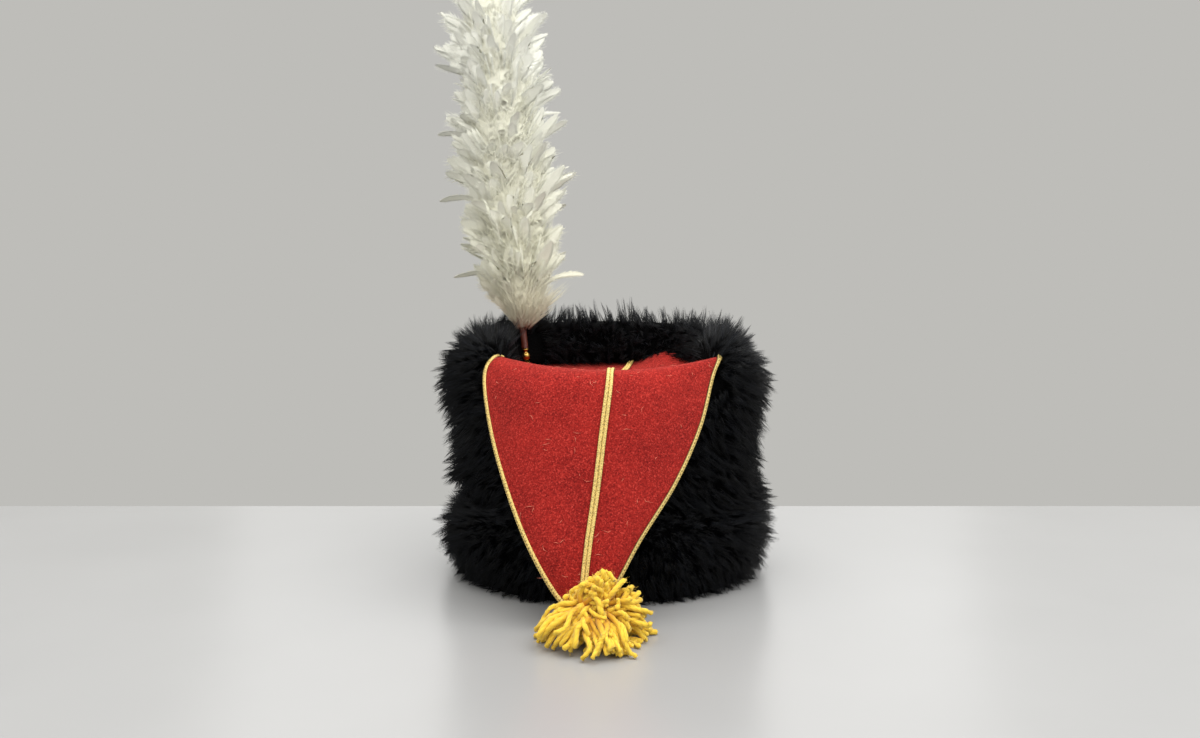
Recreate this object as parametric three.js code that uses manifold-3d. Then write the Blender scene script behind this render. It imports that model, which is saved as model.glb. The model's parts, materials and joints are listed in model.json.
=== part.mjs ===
// A fur busby standing on its rim: an oval fur cap, a red felt bag that closes the top and falls
// over one side, gold braid, a yarn pompom at the bag's tip and a feather plume on a brass ferrule.
// Millimetres, +Z up. X runs along the cap's long axis, the bag falls towards -Y, and the plume
// stands near the -X end. The cap is worked out round its own axis and the whole is then shifted so
// that the origin is the middle of its bounding box on the surface that it stands on.

import * as THREE from "three";
import { mergeVertices } from "three/addons/utils/BufferGeometryUtils.js";
import Module from "manifold-3d";

const wasm = await Module();
wasm.setup();

const { lerp, degToRad, smoothstep, seededRandom } = THREE.MathUtils;

// Cap: an oval of hide that fits a 58 cm head
const HEAD_LENGTH = 200;
const HEAD_WIDTH = 168;
const HIDE_THICKNESS = 3;
const HIDE_HEIGHT = 165;
const GAP = 0.3;

// Fur: its outline from the floor up the outside, over the top and in to the hide's top edge.
// z is the height, left and right are the depth outside the hide at the -X and +X ends, and
// underZ and under are the height and depth where the bag presses the fur down.
const FUR_ROWS = [
  { z: 0, left: 14, right: 16, underZ: 0, under: 17 },
  { z: 11, left: 18, right: 21, underZ: 11, under: 21 },
  { z: 28, left: 27, right: 28, underZ: 28, under: 24 },
  { z: 48, left: 21, right: 26, underZ: 48, under: 20 },
  { z: 65, left: 6, right: 22, underZ: 66, under: 14 },
  { z: 81, left: 20, right: 21, underZ: 82, under: 15 },
  { z: 104, left: 17, right: 19, underZ: 101, under: 16 },
  { z: 128, left: 22, right: 23, underZ: 121, under: 18 },
  { z: 151, left: 28, right: 27, underZ: 139, under: 19 },
  { z: 172, left: 22, right: 20, underZ: 153, under: 16 },
  { z: 188, left: 10, right: 8, underZ: 159, under: 12 },
  { z: 196, left: -7, right: -6, underZ: 160.5, under: 8 },
  { z: 189, left: -22, right: -17, underZ: 160.5, under: 5 },
  { z: 165, left: -27, right: -21, underZ: 160, under: 3 },
  { z: 169.5, left: 1.2, right: 1.2, underZ: 159.5, under: 1.2 },
];
const FUR_SECTIONS = 32;
const FUR_STEPS = 14;
const BACK_RISE = 8;
const BACK_LEAN = 24;
const RISE_ROWS = { first: 10, full: 11, last: 12, none: 13 };
const LEAN_ROWS = { first: 10, full: 12, last: 13, none: 14 };
const PRESSED_HALF_ANGLE = degToRad(40);
const FREE_HALF_ANGLE = degToRad(54);

// Fur locks: row counts down FUR_ROWS, and lean is degrees down from straight out of the fur
const LOCK_ROWS = [
  { row: 1.9, count: 11, lean: 55, length: 14, width: 50 },
  { row: 3.4, count: 10, lean: 30, length: 10, width: 48 },
  { row: 5.4, count: 11, lean: 60, length: 17, width: 52 },
  { row: 7.0, count: 10, lean: 56, length: 16, width: 52 },
  { row: 8.6, count: 11, lean: 44, length: 13, width: 50 },
  { row: 10.2, count: 9, lean: -20, length: 12, width: 42 },
  { row: 11.8, count: 9, lean: -45, length: 14, width: 38 },
];
const LOCK = { root: 6, back: 0.4, lift: 0.1, ridge: 0.17, neck: 0.7, lowest: 3 };
const LOCK_VARIES = { lean: 9, length: 0.25, side: 0.3, place: 0.25, row: 0.2 };
const LAST_FREE_LOCK_ROW = 7;

// Bag: one felt sheet from the back of the top, over the near edge and down to its tip.
// y and z place the middle of a section, left and right are its ends, back and rise say how far its
// ends lie behind and above its middle, and braid is where the middle braid crosses it.
const BAG_ROWS = [
  { y: 85, z: 166.7, left: -19, right: 19, back: -1.2, rise: 0, braid: 14 },
  { y: 74, z: 165.3, left: -50.5, right: 50.5, back: 0, rise: 1.4, braid: 28.5 },
  { y: 52, z: 162.5, left: -80, right: 80, back: 0, rise: 4.2, braid: 24.5 },
  { y: 24, z: 160, left: -97, right: 97, back: 0, rise: 6.7, braid: 19 },
  { y: -8, z: 159.5, left: -100.8, right: 100.8, back: 0, rise: 7.2, braid: 13.5 },
  { y: -40, z: 162, left: -86, right: 89.3, back: 0, rise: 4.7, braid: 9 },
  { y: -78, z: 167, left: -76, right: 87, back: 29, rise: 6.5, braid: 5.8 },
  { y: -102, z: 171.5, left: -83, right: 86, back: 36, rise: 7, braid: 3.6 },
  { y: -116, z: 161, left: -89, right: 79, back: 37, rise: 5, braid: 2.2 },
  { y: -127, z: 131.5, left: -83, right: 68, back: 27, rise: 0, braid: -1.8 },
  { y: -138, z: 95, left: -71, right: 49, back: 16, rise: 0, braid: -6.5 },
  { y: -150, z: 58.5, left: -55, right: 23, back: 7, rise: 0, braid: -12 },
  { y: -159, z: 27, left: -36, right: 4, back: 2, rise: 0, braid: -15.5 },
  { y: -163.5, z: 11, left: -20, right: -12, back: 0, rise: 0, braid: -16 },
];
const BAG_THICKNESS = 2.4;
const BAG_SPANS = 10;
const BAG_STEPS = 31;
const PUCKER = { x: 48, y: 44, height: 8, spread: 17 };

// Braid: a channel folded round each edge of the fall, and a flat double cord down the middle
const EDGE_BRAID = { reach: 2.7, wrap: 1.3, cord: 1.1, fromRow: 6, toRow: 12.4 };
const MIDDLE_BRAID = { halfWidth: 2.8, crest: 1.7, crown: 1.6, groove: 0.8, fromRow: 1, toRow: 12.4 };
const BRAID_CLEARANCE = 0.5;

// Pompom: yarn strands round a head, flattened where they lie on the surface
const POMPOM = { x: -7, y: -180, z: 20.3, halfWidth: 46, halfDepth: 42, rise: 34, fall: 19.5, droop: 13 };
const POMPOM_HEAD = { size: 0.68, sides: 12, rings: 8 };
const STRAND = { count: 24, radius: 4.8, sides: 5, lowest: 3.2 };
const STRAND_CURVE = { start: 0.35, bend: 0.75, lift: 3, reach: 0.94, varies: 0.1 };

// Plume: feather leaves round a core, on a wound stem with a brass ferrule pinned through the cloth
const PLUME_FOOT = { across: -0.66, row: 3.12, lean: degToRad(5.6) };
const PLUME_ROWS = [
  { height: 0, core: 6, reach: 14 },
  { height: 18, core: 17, reach: 34 },
  { height: 52, core: 26, reach: 45 },
  { height: 100, core: 30, reach: 47 },
  { height: 150, core: 31, reach: 48 },
  { height: 190, core: 30, reach: 47 },
  { height: 230, core: 27, reach: 43 },
  { height: 262, core: 21, reach: 34 },
  { height: 284, core: 9, reach: 17 },
];
const PLUME_TIP = 4;
const PLUME_SIDES = 10;
const LEAF = { count: 50, firstRow: 0.5, lastRow: 7.8, rise: 24, width: 26, ridge: 0.16, neck: 0.6 };
const LEAF_CURVE = { rootDrop: 0.3, rootDepth: 0.5, bend: 0.6 };
const LEAF_VARIES = { reach: 0.12, rise: 5, turn: 0.2 };
const GOLDEN_ANGLE = Math.PI * (3 - Math.sqrt(5));
const FEATHERS_START = 32.5;
const STEM_RADIUS = 2.8;
const STEM_START = 14.5;
const STEM_WINDINGS = { count: 4, valley: 0.85 };
const FERRULE = { ball: 3.8, ballHeight: 8.2, neck: 2, ring: 3.1, ringHeight: 1.6 };
const FERRULE_FOOT = { radius: 3.4, low: 1, top: 2.4, pin: 1.5, pinDepth: 5 };
const LATHE_SIDES = 10;
const BALL_STEPS = 5;
const PLUME_ROOM = { stem: 5.5, flare: 26, flareStart: 24, top: 60 };

const SEED = 7;
const MERGE_DISTANCE = 1e-4;

// Merges shared corners, drops the faces that a point of no width leaves, and turns faces outwards
function closed(geometry) {
  geometry.deleteAttribute("normal");
  geometry.deleteAttribute("uv");
  const merged = mergeVertices(geometry, MERGE_DISTANCE);
  const corners = merged.index.array;
  const position = merged.attributes.position;
  const faces = [];
  let volume = 0;
  const [a, b, c] = [new THREE.Vector3(), new THREE.Vector3(), new THREE.Vector3()];
  for (let i = 0; i < corners.length; i += 3) {
    const [p, q, r] = [corners[i], corners[i + 1], corners[i + 2]];
    if (p === q || q === r || r === p) continue;
    faces.push([p, q, r]);
    a.fromBufferAttribute(position, p);
    b.fromBufferAttribute(position, q);
    c.fromBufferAttribute(position, r);
    volume += a.dot(b.cross(c));
  }
  merged.setIndex(faces.flatMap(([p, q, r]) => (volume > 0 ? [p, q, r] : [p, r, q])));
  return merged;
}

function toSolid(geometry) {
  const shape = closed(geometry);
  const vertProperties = new Float32Array(shape.attributes.position.array);
  const triVerts = new Uint32Array(shape.index.array);
  return new wasm.Manifold(new wasm.Mesh({ numProp: 3, vertProperties, triVerts }));
}

function toGeometry(solid) {
  const { vertProperties, triVerts } = solid.getMesh();
  const geometry = new THREE.BufferGeometry();
  geometry.setAttribute("position", new THREE.BufferAttribute(new Float32Array(vertProperties), 3));
  geometry.setIndex(new THREE.BufferAttribute(new Uint32Array(triVerts), 1));
  return geometry;
}

const joined = (solids) => solids.reduce((sum, next) => sum.add(next));
const largest = (solid) => solid.decompose().reduce((a, b) => (a.volume() > b.volume() ? a : b));
const vary = (amount) => (seededRandom() * 2 - 1) * amount;

// A closed skin over a row of rings of points. With caps, the triangles of one end, the row has two
// ends; without them it runs round and closes on itself.
function loft(rings, caps) {
  const count = rings[0].length;
  const indices = [];
  const strips = caps ? rings.length - 1 : rings.length;
  for (let k = 0; k < strips; k += 1) {
    const here = k * count;
    const there = ((k + 1) % rings.length) * count;
    for (let i = 0; i < count; i += 1) {
      const j = (i + 1) % count;
      indices.push(here + i, here + j, there + j, here + i, there + j, there + i);
    }
  }
  const last = (rings.length - 1) * count;
  for (const [p, q, r] of caps ?? []) indices.push(p, r, q, last + p, last + q, last + r);
  const geometry = new THREE.BufferGeometry().setFromPoints(rings.flat());
  geometry.setIndex(indices);
  return geometry;
}

// A flat outline carried through stations, each with its centre, two directions and a size
function sweep(outline, stations) {
  const turned = THREE.ShapeUtils.isClockWise(outline) ? outline.slice().reverse() : outline;
  const place = ({ at, across, over, size = 1 }) =>
    turned.map(({ x, y }) => at.clone().addScaledVector(across, x * size).addScaledVector(over, y * size));
  return loft(stations.map(place), THREE.ShapeUtils.triangulateShape(turned, []));
}

// Stations along a curve, kept flat to one side direction, with a size for each
function stationsAlong(curve, side, sizes) {
  return sizes.map((size, k) => {
    const t = k / (sizes.length - 1);
    const ahead = curve.getTangent(t);
    const across = side.clone().addScaledVector(ahead, -side.dot(ahead)).normalize();
    return { at: curve.getPoint(t), across, over: ahead.clone().cross(across), size };
  });
}

// A smooth function of a table's row number through one of its columns
function column(rows, name) {
  const spline = new THREE.SplineCurve(rows.map((row, i) => new THREE.Vector2(i, row[name])));
  return (row) => spline.getPoint(row / (rows.length - 1)).y;
}

const columns = (rows) => Object.fromEntries(Object.keys(rows[0]).map((name) => [name, column(rows, name)]));
const polygon = (pairs) => pairs.map(([x, y]) => new THREE.Vector2(x, y));

// A flat-backed outline of unit width with a ridge along its front
const ridged = (height) => polygon([[-0.5, -height / 2], [0.5, -height / 2], [0, height]]);

// Cap
const fur = columns(FUR_ROWS);
const FUR_END = FUR_ROWS.length - 1;
const HIDE_X = HEAD_LENGTH / 2 + HIDE_THICKNESS;
const HIDE_Y = HEAD_WIDTH / 2 + HIDE_THICKNESS;

// A point at a depth outside the hide, measured square to its oval
function hidePoint(angle, depth, z) {
  const out = new THREE.Vector3(Math.cos(angle) / HIDE_X, Math.sin(angle) / HIDE_Y, 0).normalize();
  return new THREE.Vector3(HIDE_X * Math.cos(angle), HIDE_Y * Math.sin(angle), z).addScaledVector(out, depth);
}

// How far the bag presses the fur down, from 1 under it to 0 clear of it
function pressAt(angle) {
  const turn = Math.acos(THREE.MathUtils.clamp(-Math.sin(angle), -1, 1));
  return 1 - smoothstep(turn, PRESSED_HALF_ANGLE, FREE_HALF_ANGLE);
}

// How much of the back's rise or lean over the top a row of the outline takes
const shareAt = (row, { first, full, last, none }) =>
  smoothstep(row, first, full) * (1 - smoothstep(row, last, none));

// A point of the fur's surface: row runs through FUR_ROWS
function furPoint(angle, row) {
  const press = pressAt(angle);
  const back = Math.max(0, Math.sin(angle));
  const open = lerp(fur.left(row), fur.right(row), (1 + Math.cos(angle)) / 2);
  const lean = BACK_LEAN * back * shareAt(row, LEAN_ROWS);
  const rise = BACK_RISE * back * shareAt(row, RISE_ROWS);
  const depth = lerp(open - lean, fur.under(row), press);
  const z = lerp(fur.z(row) + rise, fur.underZ(row), press);
  return hidePoint(angle, depth, z);
}

function furBody() {
  const rings = [];
  for (let k = 0; k < FUR_SECTIONS; k += 1) {
    const angle = (2 * Math.PI * k) / FUR_SECTIONS;
    const ring = [];
    for (let i = 0; i <= FUR_STEPS; i += 1) {
      ring.push(furPoint(angle, (i / FUR_STEPS) * FUR_END));
    }
    ring.push(hidePoint(angle, 0, HIDE_HEIGHT));
    ring.push(hidePoint(angle, -HIDE_THICKNESS, HIDE_HEIGHT));
    ring.push(hidePoint(angle, -HIDE_THICKNESS, 0));
    rings.push(ring);
  }
  return toSolid(loft(rings, null));
}

// One pointed lock with a ridge, rooted in the fur and bending from straight out towards its lean
function furLock(angle, row, { lean, length, width }) {
  const step = 0.02;
  const root = furPoint(angle, row);
  const round = furPoint(angle + step, row).sub(furPoint(angle - step, row)).normalize();
  const up = furPoint(angle, row + step).sub(furPoint(angle, row - step)).normalize();
  const out = round.clone().cross(up).normalize();
  const turn = degToRad(lean + vary(LOCK_VARIES.lean));
  const reach = length * (1 + vary(LOCK_VARIES.length));
  const lay = out.clone().multiplyScalar(Math.cos(turn)).addScaledVector(up, -Math.sin(turn));
  const tip = root.clone().addScaledVector(lay, reach).addScaledVector(round, vary(LOCK_VARIES.side) * reach);
  const start = root.clone().addScaledVector(out, -LOCK.root).addScaledVector(lay, -reach * LOCK.back);
  const bend = root.clone().addScaledVector(out, reach * LOCK.lift);
  for (const point of [start, bend, tip]) point.z = Math.max(point.z, LOCK.lowest);
  const curve = new THREE.QuadraticBezierCurve3(start, bend, tip);
  return toSolid(sweep(ridged(LOCK.ridge), stationsAlong(curve, round, [width * LOCK.neck, width, 0])));
}

function furLocks() {
  const locks = [];
  LOCK_ROWS.forEach((lockRow, order) => {
    for (let k = 0; k < lockRow.count; k += 1) {
      const place = k + 0.5 * (order % 2) + vary(LOCK_VARIES.place);
      const angle = (2 * Math.PI * place) / lockRow.count;
      const pressed = pressAt(angle) > 0 && lockRow.row > LAST_FREE_LOCK_ROW;
      if (!pressed) locks.push(furLock(angle, lockRow.row + vary(LOCK_VARIES.row), lockRow));
    }
  });
  return joined(locks);
}

// Bag
const bag = columns(BAG_ROWS);
const BAG_END = BAG_ROWS.length - 1;

// A point of the sheet's middle surface: across runs from -1 at its left edge to 1 at its right
function bagPoint(across, row) {
  const bow = across * across;
  const x = lerp(bag.left(row), bag.right(row), (across + 1) / 2);
  const y = bag.y(row) + bag.back(row) * bow;
  const far = ((x - PUCKER.x) ** 2 + (y - PUCKER.y) ** 2) / PUCKER.spread ** 2;
  const z = bag.z(row) + bag.rise(row) * bow + PUCKER.height * Math.exp(-far);
  return new THREE.Vector3(x, y, z);
}

// The sheet's place with its directions: side runs to the right, ahead to the tip, out off its face
function bagFrame(across, row) {
  const step = 0.03;
  const right = bagPoint(Math.min(across + step, 1), row);
  const left = bagPoint(Math.max(across - step, -1), row);
  const next = bagPoint(across, Math.min(row + step, BAG_END));
  const before = bagPoint(across, Math.max(row - step, 0));
  const ahead = next.sub(before).normalize();
  const out = ahead.clone().cross(right.sub(left)).normalize();
  return { at: bagPoint(across, row), side: out.clone().cross(ahead), ahead, out };
}

const bagRow = (step) => (step / BAG_STEPS) * BAG_END;

// The sheet at a thickness, widened at its edges and its tip by extra
function bagSheet(thickness, extra) {
  const rings = [];
  for (let k = 0; k <= BAG_STEPS; k += 1) {
    const faces = [[], []];
    for (let i = 0; i <= BAG_SPANS; i += 1) {
      const across = (2 * i) / BAG_SPANS - 1;
      const { at, side, ahead, out } = bagFrame(across, bagRow(k));
      if (Math.abs(across) === 1) at.addScaledVector(side, extra * across);
      if (k === BAG_STEPS) at.addScaledVector(ahead, extra);
      faces[0].push(at.clone().addScaledVector(out, thickness / 2));
      faces[1].unshift(at.clone().addScaledVector(out, -thickness / 2));
    }
    rings.push(faces.flat());
  }
  const lens = [];
  for (let i = 0; i < 2 * (BAG_SPANS + 1); i += 1) {
    const turn = (Math.PI * (i + 0.5)) / (BAG_SPANS + 1);
    lens.push(new THREE.Vector2(Math.cos(turn), Math.sin(turn)));
  }
  return toSolid(loft(rings, THREE.ShapeUtils.triangulateShape(lens, [])));
}

// A braid's outline carried along the sheet between two of its rows
function alongBag(outline, acrossAt, { fromRow, toRow }) {
  const stations = [];
  for (let k = 0; k <= BAG_STEPS; k += 1) {
    const row = bagRow(k);
    if (row < fromRow || row > toRow) continue;
    const { at, side, out } = bagFrame(acrossAt(row), row);
    stations.push({ at, across: side, over: out });
  }
  return sweep(outline, stations);
}

// A bar round an edge of the sheet, which the sheet's own space then cuts into a channel
function edgeBraid(end, extra) {
  const half = BAG_THICKNESS / 2 + GAP + EDGE_BRAID.cord + extra;
  const near = -end * (EDGE_BRAID.reach + extra);
  const rim = end * (GAP + extra);
  const far = end * (EDGE_BRAID.wrap + extra);
  const face = [[near, half], [rim, half], [far, half / 2]];
  const behind = face.map(([x, y]) => [x, -y]).reverse();
  return toSolid(alongBag(polygon([...face, ...behind]), () => end, EDGE_BRAID));
}

const braidAcross = (row) => (2 * (bag.braid(row) - bag.left(row))) / (bag.right(row) - bag.left(row)) - 1;

// Two cords side by side on the face of the sheet, sunk to its middle before the sheet's space cuts them
function middleBraid(extra) {
  const { crown, groove } = MIDDLE_BRAID;
  const [halfWidth, crest] = [MIDDLE_BRAID.halfWidth + extra, MIDDLE_BRAID.crest + extra];
  const base = BAG_THICKNESS / 2 + GAP + extra;
  const cords = polygon([
    [-halfWidth, 0], [halfWidth, 0], [crest, base + crown], [0, base + groove], [-crest, base + crown],
  ]);
  return toSolid(alongBag(cords, braidAcross, MIDDLE_BRAID));
}

// Pompom: its strands leave the head evenly in all directions and droop as they lie level
function pompom() {
  const centre = new THREE.Vector3(POMPOM.x, POMPOM.y, POMPOM.z);
  const { size, sides: headSides, rings } = POMPOM_HEAD;
  const head = new THREE.SphereGeometry(size, headSides, rings).rotateX(Math.PI / 2);
  head.scale(POMPOM.halfWidth, POMPOM.halfDepth, POMPOM.fall).translate(...centre.toArray());
  const { count, radius, sides, lowest } = STRAND;
  const round = Array.from({ length: sides }, (_, i) => (2 * Math.PI * i) / sides);
  const section = polygon(round.map((turn) => [Math.cos(turn), Math.sin(turn)]));
  const solids = [toSolid(head)];
  for (let k = 0; k < count; k += 1) {
    const height = 1 - (2 * (k + 0.5)) / count;
    const level = Math.sqrt(1 - height * height);
    const turn = k * GOLDEN_ANGLE;
    const reach = new THREE.Vector3(
      POMPOM.halfWidth * level * Math.cos(turn),
      POMPOM.halfDepth * level * Math.sin(turn),
      height * (height > 0 ? POMPOM.rise : POMPOM.fall),
    ).multiplyScalar(STRAND_CURVE.reach + vary(STRAND_CURVE.varies));
    const start = centre.clone().addScaledVector(reach, STRAND_CURVE.start);
    const bend = centre.clone().addScaledVector(reach, STRAND_CURVE.bend);
    bend.z = Math.max(bend.z + STRAND_CURVE.lift, radius);
    const tip = centre.clone().add(reach);
    tip.z = Math.max(tip.z - POMPOM.droop * level, lowest);
    const curve = new THREE.QuadraticBezierCurve3(start, bend, tip);
    const side = new THREE.Vector3(-Math.sin(turn), Math.cos(turn), 0);
    solids.push(toSolid(sweep(section, stationsAlong(curve, side, [radius, radius, radius]))));
  }
  return joined(solids);
}

// Plume, upright in its own frame, with its height counted from the cloth
const plume = columns(PLUME_ROWS);
const PLUME_WIDEST = Math.max(...PLUME_ROWS.map(({ core }) => core));

// One leaf, rooted in the core and bending outwards as it rises
function plumeLeaf(row, turn) {
  const outward = new THREE.Vector3(Math.cos(turn), Math.sin(turn), 0);
  const side = new THREE.Vector3(-Math.sin(turn), Math.cos(turn), 0);
  const place = (height, radius) => outward.clone().multiplyScalar(radius).setZ(FEATHERS_START + height);
  const low = plume.height(row);
  const core = plume.core(row);
  const reach = plume.reach(row) * (1 + vary(LEAF_VARIES.reach));
  const root = place(low - LEAF.rise * LEAF_CURVE.rootDrop, core * LEAF_CURVE.rootDepth);
  const bend = place(low + LEAF.rise * LEAF_CURVE.bend, core);
  const tip = place(low + LEAF.rise + vary(LEAF_VARIES.rise), reach);
  const curve = new THREE.QuadraticBezierCurve3(root, bend, tip);
  const width = LEAF.width * Math.sqrt(core / PLUME_WIDEST);
  return toSolid(sweep(ridged(LEAF.ridge), stationsAlong(curve, side, [width * LEAF.neck, width, 0])));
}

function plumeFeathers() {
  const sides = PLUME_ROWS.map(({ height, core }) => [core, FEATHERS_START + height]);
  const top = FEATHERS_START + PLUME_ROWS.at(-1).height + PLUME_TIP;
  const outline = polygon([[0, FEATHERS_START], ...sides, [0, top]]);
  const solids = [toSolid(new THREE.LatheGeometry(outline, PLUME_SIDES).rotateX(Math.PI / 2))];
  for (let k = 0; k < LEAF.count; k += 1) {
    const row = lerp(LEAF.firstRow, LEAF.lastRow, k / (LEAF.count - 1));
    solids.push(plumeLeaf(row, k * GOLDEN_ANGLE + vary(LEAF_VARIES.turn)));
  }
  return joined(solids);
}

// The room that the fur leaves round the plume's foot
function plumeRoom() {
  const { stem, flare, flareStart, top } = PLUME_ROOM;
  const low = -FERRULE_FOOT.pinDepth;
  const profile = polygon([[0, low], [stem, low], [stem, flareStart], [flare, top], [0, top]]);
  return new THREE.LatheGeometry(profile, PLUME_SIDES).rotateX(Math.PI / 2);
}

// A stem with low windings of thread round it
function plumeStem() {
  const { count, valley } = STEM_WINDINGS;
  const bottom = STEM_START + GAP;
  const top = FEATHERS_START - GAP;
  const pitch = (top - bottom) / count;
  const profile = [[0, bottom]];
  for (let k = 0; k < count; k += 1) {
    profile.push([STEM_RADIUS * valley, bottom + k * pitch], [STEM_RADIUS, bottom + (k + 0.5) * pitch]);
  }
  profile.push([STEM_RADIUS * valley, top], [0, top]);
  return new THREE.LatheGeometry(polygon(profile), LATHE_SIDES).rotateX(Math.PI / 2);
}

// Pin through the cloth, foot on the cloth, ball and ring, turned in one piece
function plumeFerrule() {
  const { ball, ballHeight, neck, ring, ringHeight } = FERRULE;
  const { radius, low, top, pin, pinDepth } = FERRULE_FOOT;
  const waist = Math.acos(neck / ball);
  const ballLow = ballHeight - ball * Math.sin(waist);
  const ringLow = STEM_START - ringHeight;
  const arc = new THREE.Path().absarc(0, ballHeight, ball, -waist, waist, false);
  const profile = [
    ...polygon([[0, -pinDepth], [pin, -pinDepth], [pin, low], [radius, low], [radius, top], [neck, ballLow]]),
    ...arc.getPoints(BALL_STEPS).slice(1),
    ...polygon([[neck, ringLow], [ring, ringLow], [ring, STEM_START], [0, STEM_START]]),
  ];
  return new THREE.LatheGeometry(profile, LATHE_SIDES).rotateX(Math.PI / 2);
}

// Assembly
const busby = new THREE.Group();
const plumeGroup = new THREE.Group();

function addPiece(parent, name, geometry, color, roughness, metalness = 0) {
  const mesh = new THREE.Mesh(geometry, new THREE.MeshStandardMaterial({ color, roughness, metalness }));
  mesh.name = name;
  parent.add(mesh);
}

plumeGroup.position.copy(bagPoint(PLUME_FOOT.across, PLUME_FOOT.row));
plumeGroup.position.z += BAG_THICKNESS / 2;
plumeGroup.rotation.y = -PLUME_FOOT.lean;
plumeGroup.updateMatrix();

seededRandom(SEED);
const holeRadius = FERRULE_FOOT.pin + 2 * GAP;
const hole = new THREE.CylinderGeometry(holeRadius, holeRadius, 4 * FERRULE_FOOT.pinDepth, LATHE_SIDES);
const pinHole = toSolid(hole.rotateX(Math.PI / 2).applyMatrix4(plumeGroup.matrix));
const sheet = bagSheet(BAG_THICKNESS, 0).subtract(pinHole);
const sheetSpace = bagSheet(BAG_THICKNESS + 2 * GAP, GAP);
const braidSpace = joined([
  edgeBraid(-1, BRAID_CLEARANCE), edgeBraid(1, BRAID_CLEARANCE), middleBraid(BRAID_CLEARANCE),
]);
const aroundTip = bagSheet(BAG_THICKNESS + 2 * (GAP + MIDDLE_BRAID.crown + BRAID_CLEARANCE), BRAID_CLEARANCE);
const plumeSpace = toSolid(plumeRoom().applyMatrix4(plumeGroup.matrix));
const furSolid = furBody().add(furLocks()).subtract(sheetSpace).subtract(braidSpace).subtract(plumeSpace);
const pompomSolid = pompom().subtract(aroundTip).subtract(braidSpace);
const trimmed = (solid) => toGeometry(largest(solid.subtract(sheetSpace)));

addPiece(busby, "fur_cap", toGeometry(largest(furSolid)), 0x0c0c0e, 0.75);
addPiece(busby, "bag", toGeometry(sheet), 0xc8352f, 0.9);
addPiece(busby, "braid_left", trimmed(edgeBraid(-1, 0)), 0xe2c46c, 0.55);
addPiece(busby, "braid_right", trimmed(edgeBraid(1, 0)), 0xe2c46c, 0.55);
addPiece(busby, "braid_centre", trimmed(middleBraid(0)), 0xe2c46c, 0.55);
addPiece(busby, "pompom", toGeometry(largest(pompomSolid)), 0xf0c83a, 0.9);
addPiece(plumeGroup, "plume", toGeometry(plumeFeathers()), 0xf1efe4, 0.85);
addPiece(plumeGroup, "plume_stem", closed(plumeStem()), 0x5a2418, 0.7);
addPiece(plumeGroup, "plume_ferrule", closed(plumeFerrule()), 0xb8893a, 0.3, 1);
busby.add(plumeGroup);

const box = new THREE.Box3().setFromObject(busby, true);
busby.position.set(-(box.min.x + box.max.x) / 2, -(box.min.y + box.max.y) / 2, -box.min.z);

export default busby;
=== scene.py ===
"""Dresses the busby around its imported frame: fur, felt bag, braid, yarn pompom and feather plume.

Sizes are millimetres in the part's own frame, with +Z up, and become metres where a mesh is made.
Every new piece is a closed skin over rows of rings, worked out with whole arrays.
"""

from __future__ import annotations

import json
import logging
import math
from dataclasses import dataclass, field
from enum import Enum

import bpy
import numpy as np
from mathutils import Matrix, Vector

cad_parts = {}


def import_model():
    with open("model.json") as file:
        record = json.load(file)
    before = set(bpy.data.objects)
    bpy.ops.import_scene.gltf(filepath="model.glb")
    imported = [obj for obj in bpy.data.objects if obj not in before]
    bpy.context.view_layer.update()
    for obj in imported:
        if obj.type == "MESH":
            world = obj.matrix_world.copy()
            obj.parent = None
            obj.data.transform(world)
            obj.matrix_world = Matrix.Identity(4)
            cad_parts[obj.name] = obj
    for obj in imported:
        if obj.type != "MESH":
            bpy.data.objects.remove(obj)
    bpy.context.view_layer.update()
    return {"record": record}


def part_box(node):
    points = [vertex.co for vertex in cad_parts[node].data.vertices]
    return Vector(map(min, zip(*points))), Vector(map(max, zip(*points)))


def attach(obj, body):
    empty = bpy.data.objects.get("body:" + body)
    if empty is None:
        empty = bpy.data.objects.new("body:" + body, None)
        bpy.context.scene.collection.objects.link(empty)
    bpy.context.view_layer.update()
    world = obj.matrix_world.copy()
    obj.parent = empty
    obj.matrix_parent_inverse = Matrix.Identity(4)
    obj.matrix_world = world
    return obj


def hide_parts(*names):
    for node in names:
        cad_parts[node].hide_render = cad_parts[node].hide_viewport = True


Array = np.ndarray
Color = tuple[float, float, float, float]
Point = tuple[float, float, float]
Range = tuple[float, float]
Hill = tuple[float, float, float, float]
LOG = logging.getLogger("busby")

MM = 0.001
TINY = 1e-12
BODY = "root"
PLACE_MAP = "place"
UP = np.array([0.0, 0.0, 1.0])
# A direction that no fine strand runs along, so that each has a side square to it.
ASLANT = np.array([0.1, 0.2, 1.0])
NEEDLE_SIDES = 3
# How far apart two points are that show a surface's direction, in turns or rows.
NEAR_STEP = 0.03
GOLDEN_ANGLE = math.pi * (3 - math.sqrt(5))
# Steps that spread any number of points evenly over a unit square.
EVEN_STEPS = (0.7548776662, 0.5698402910)


class Slot(Enum):
    """Names of the record's material slots."""

    FUR = "fur"
    FELT = "felt"
    BRAID = "braid"
    YARN = "yarn"
    FEATHER = "feather"
    THREAD = "wound_thread"
    BRASS = "brass"


# Small helpers


def linear(code: str) -> Color:
    """Turns an sRGB hex colour into linear light.

    Args:
        code: The colour as #rrggbb.

    Returns:
        Its red, green and blue light, with full alpha.
    """
    parts = np.array([int(code[i : i + 2], 16) for i in (1, 3, 5)]) / 255
    light = np.where(parts <= 0.04045, parts / 12.92, ((parts + 0.055) / 1.055) ** 2.4)
    return (*light.tolist(), 1.0)


def per_mm(size: float) -> float:
    """Gives a pattern's scale on coordinates in metres from the size of its marks in millimetres."""
    return 1 / (size * MM)


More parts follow.
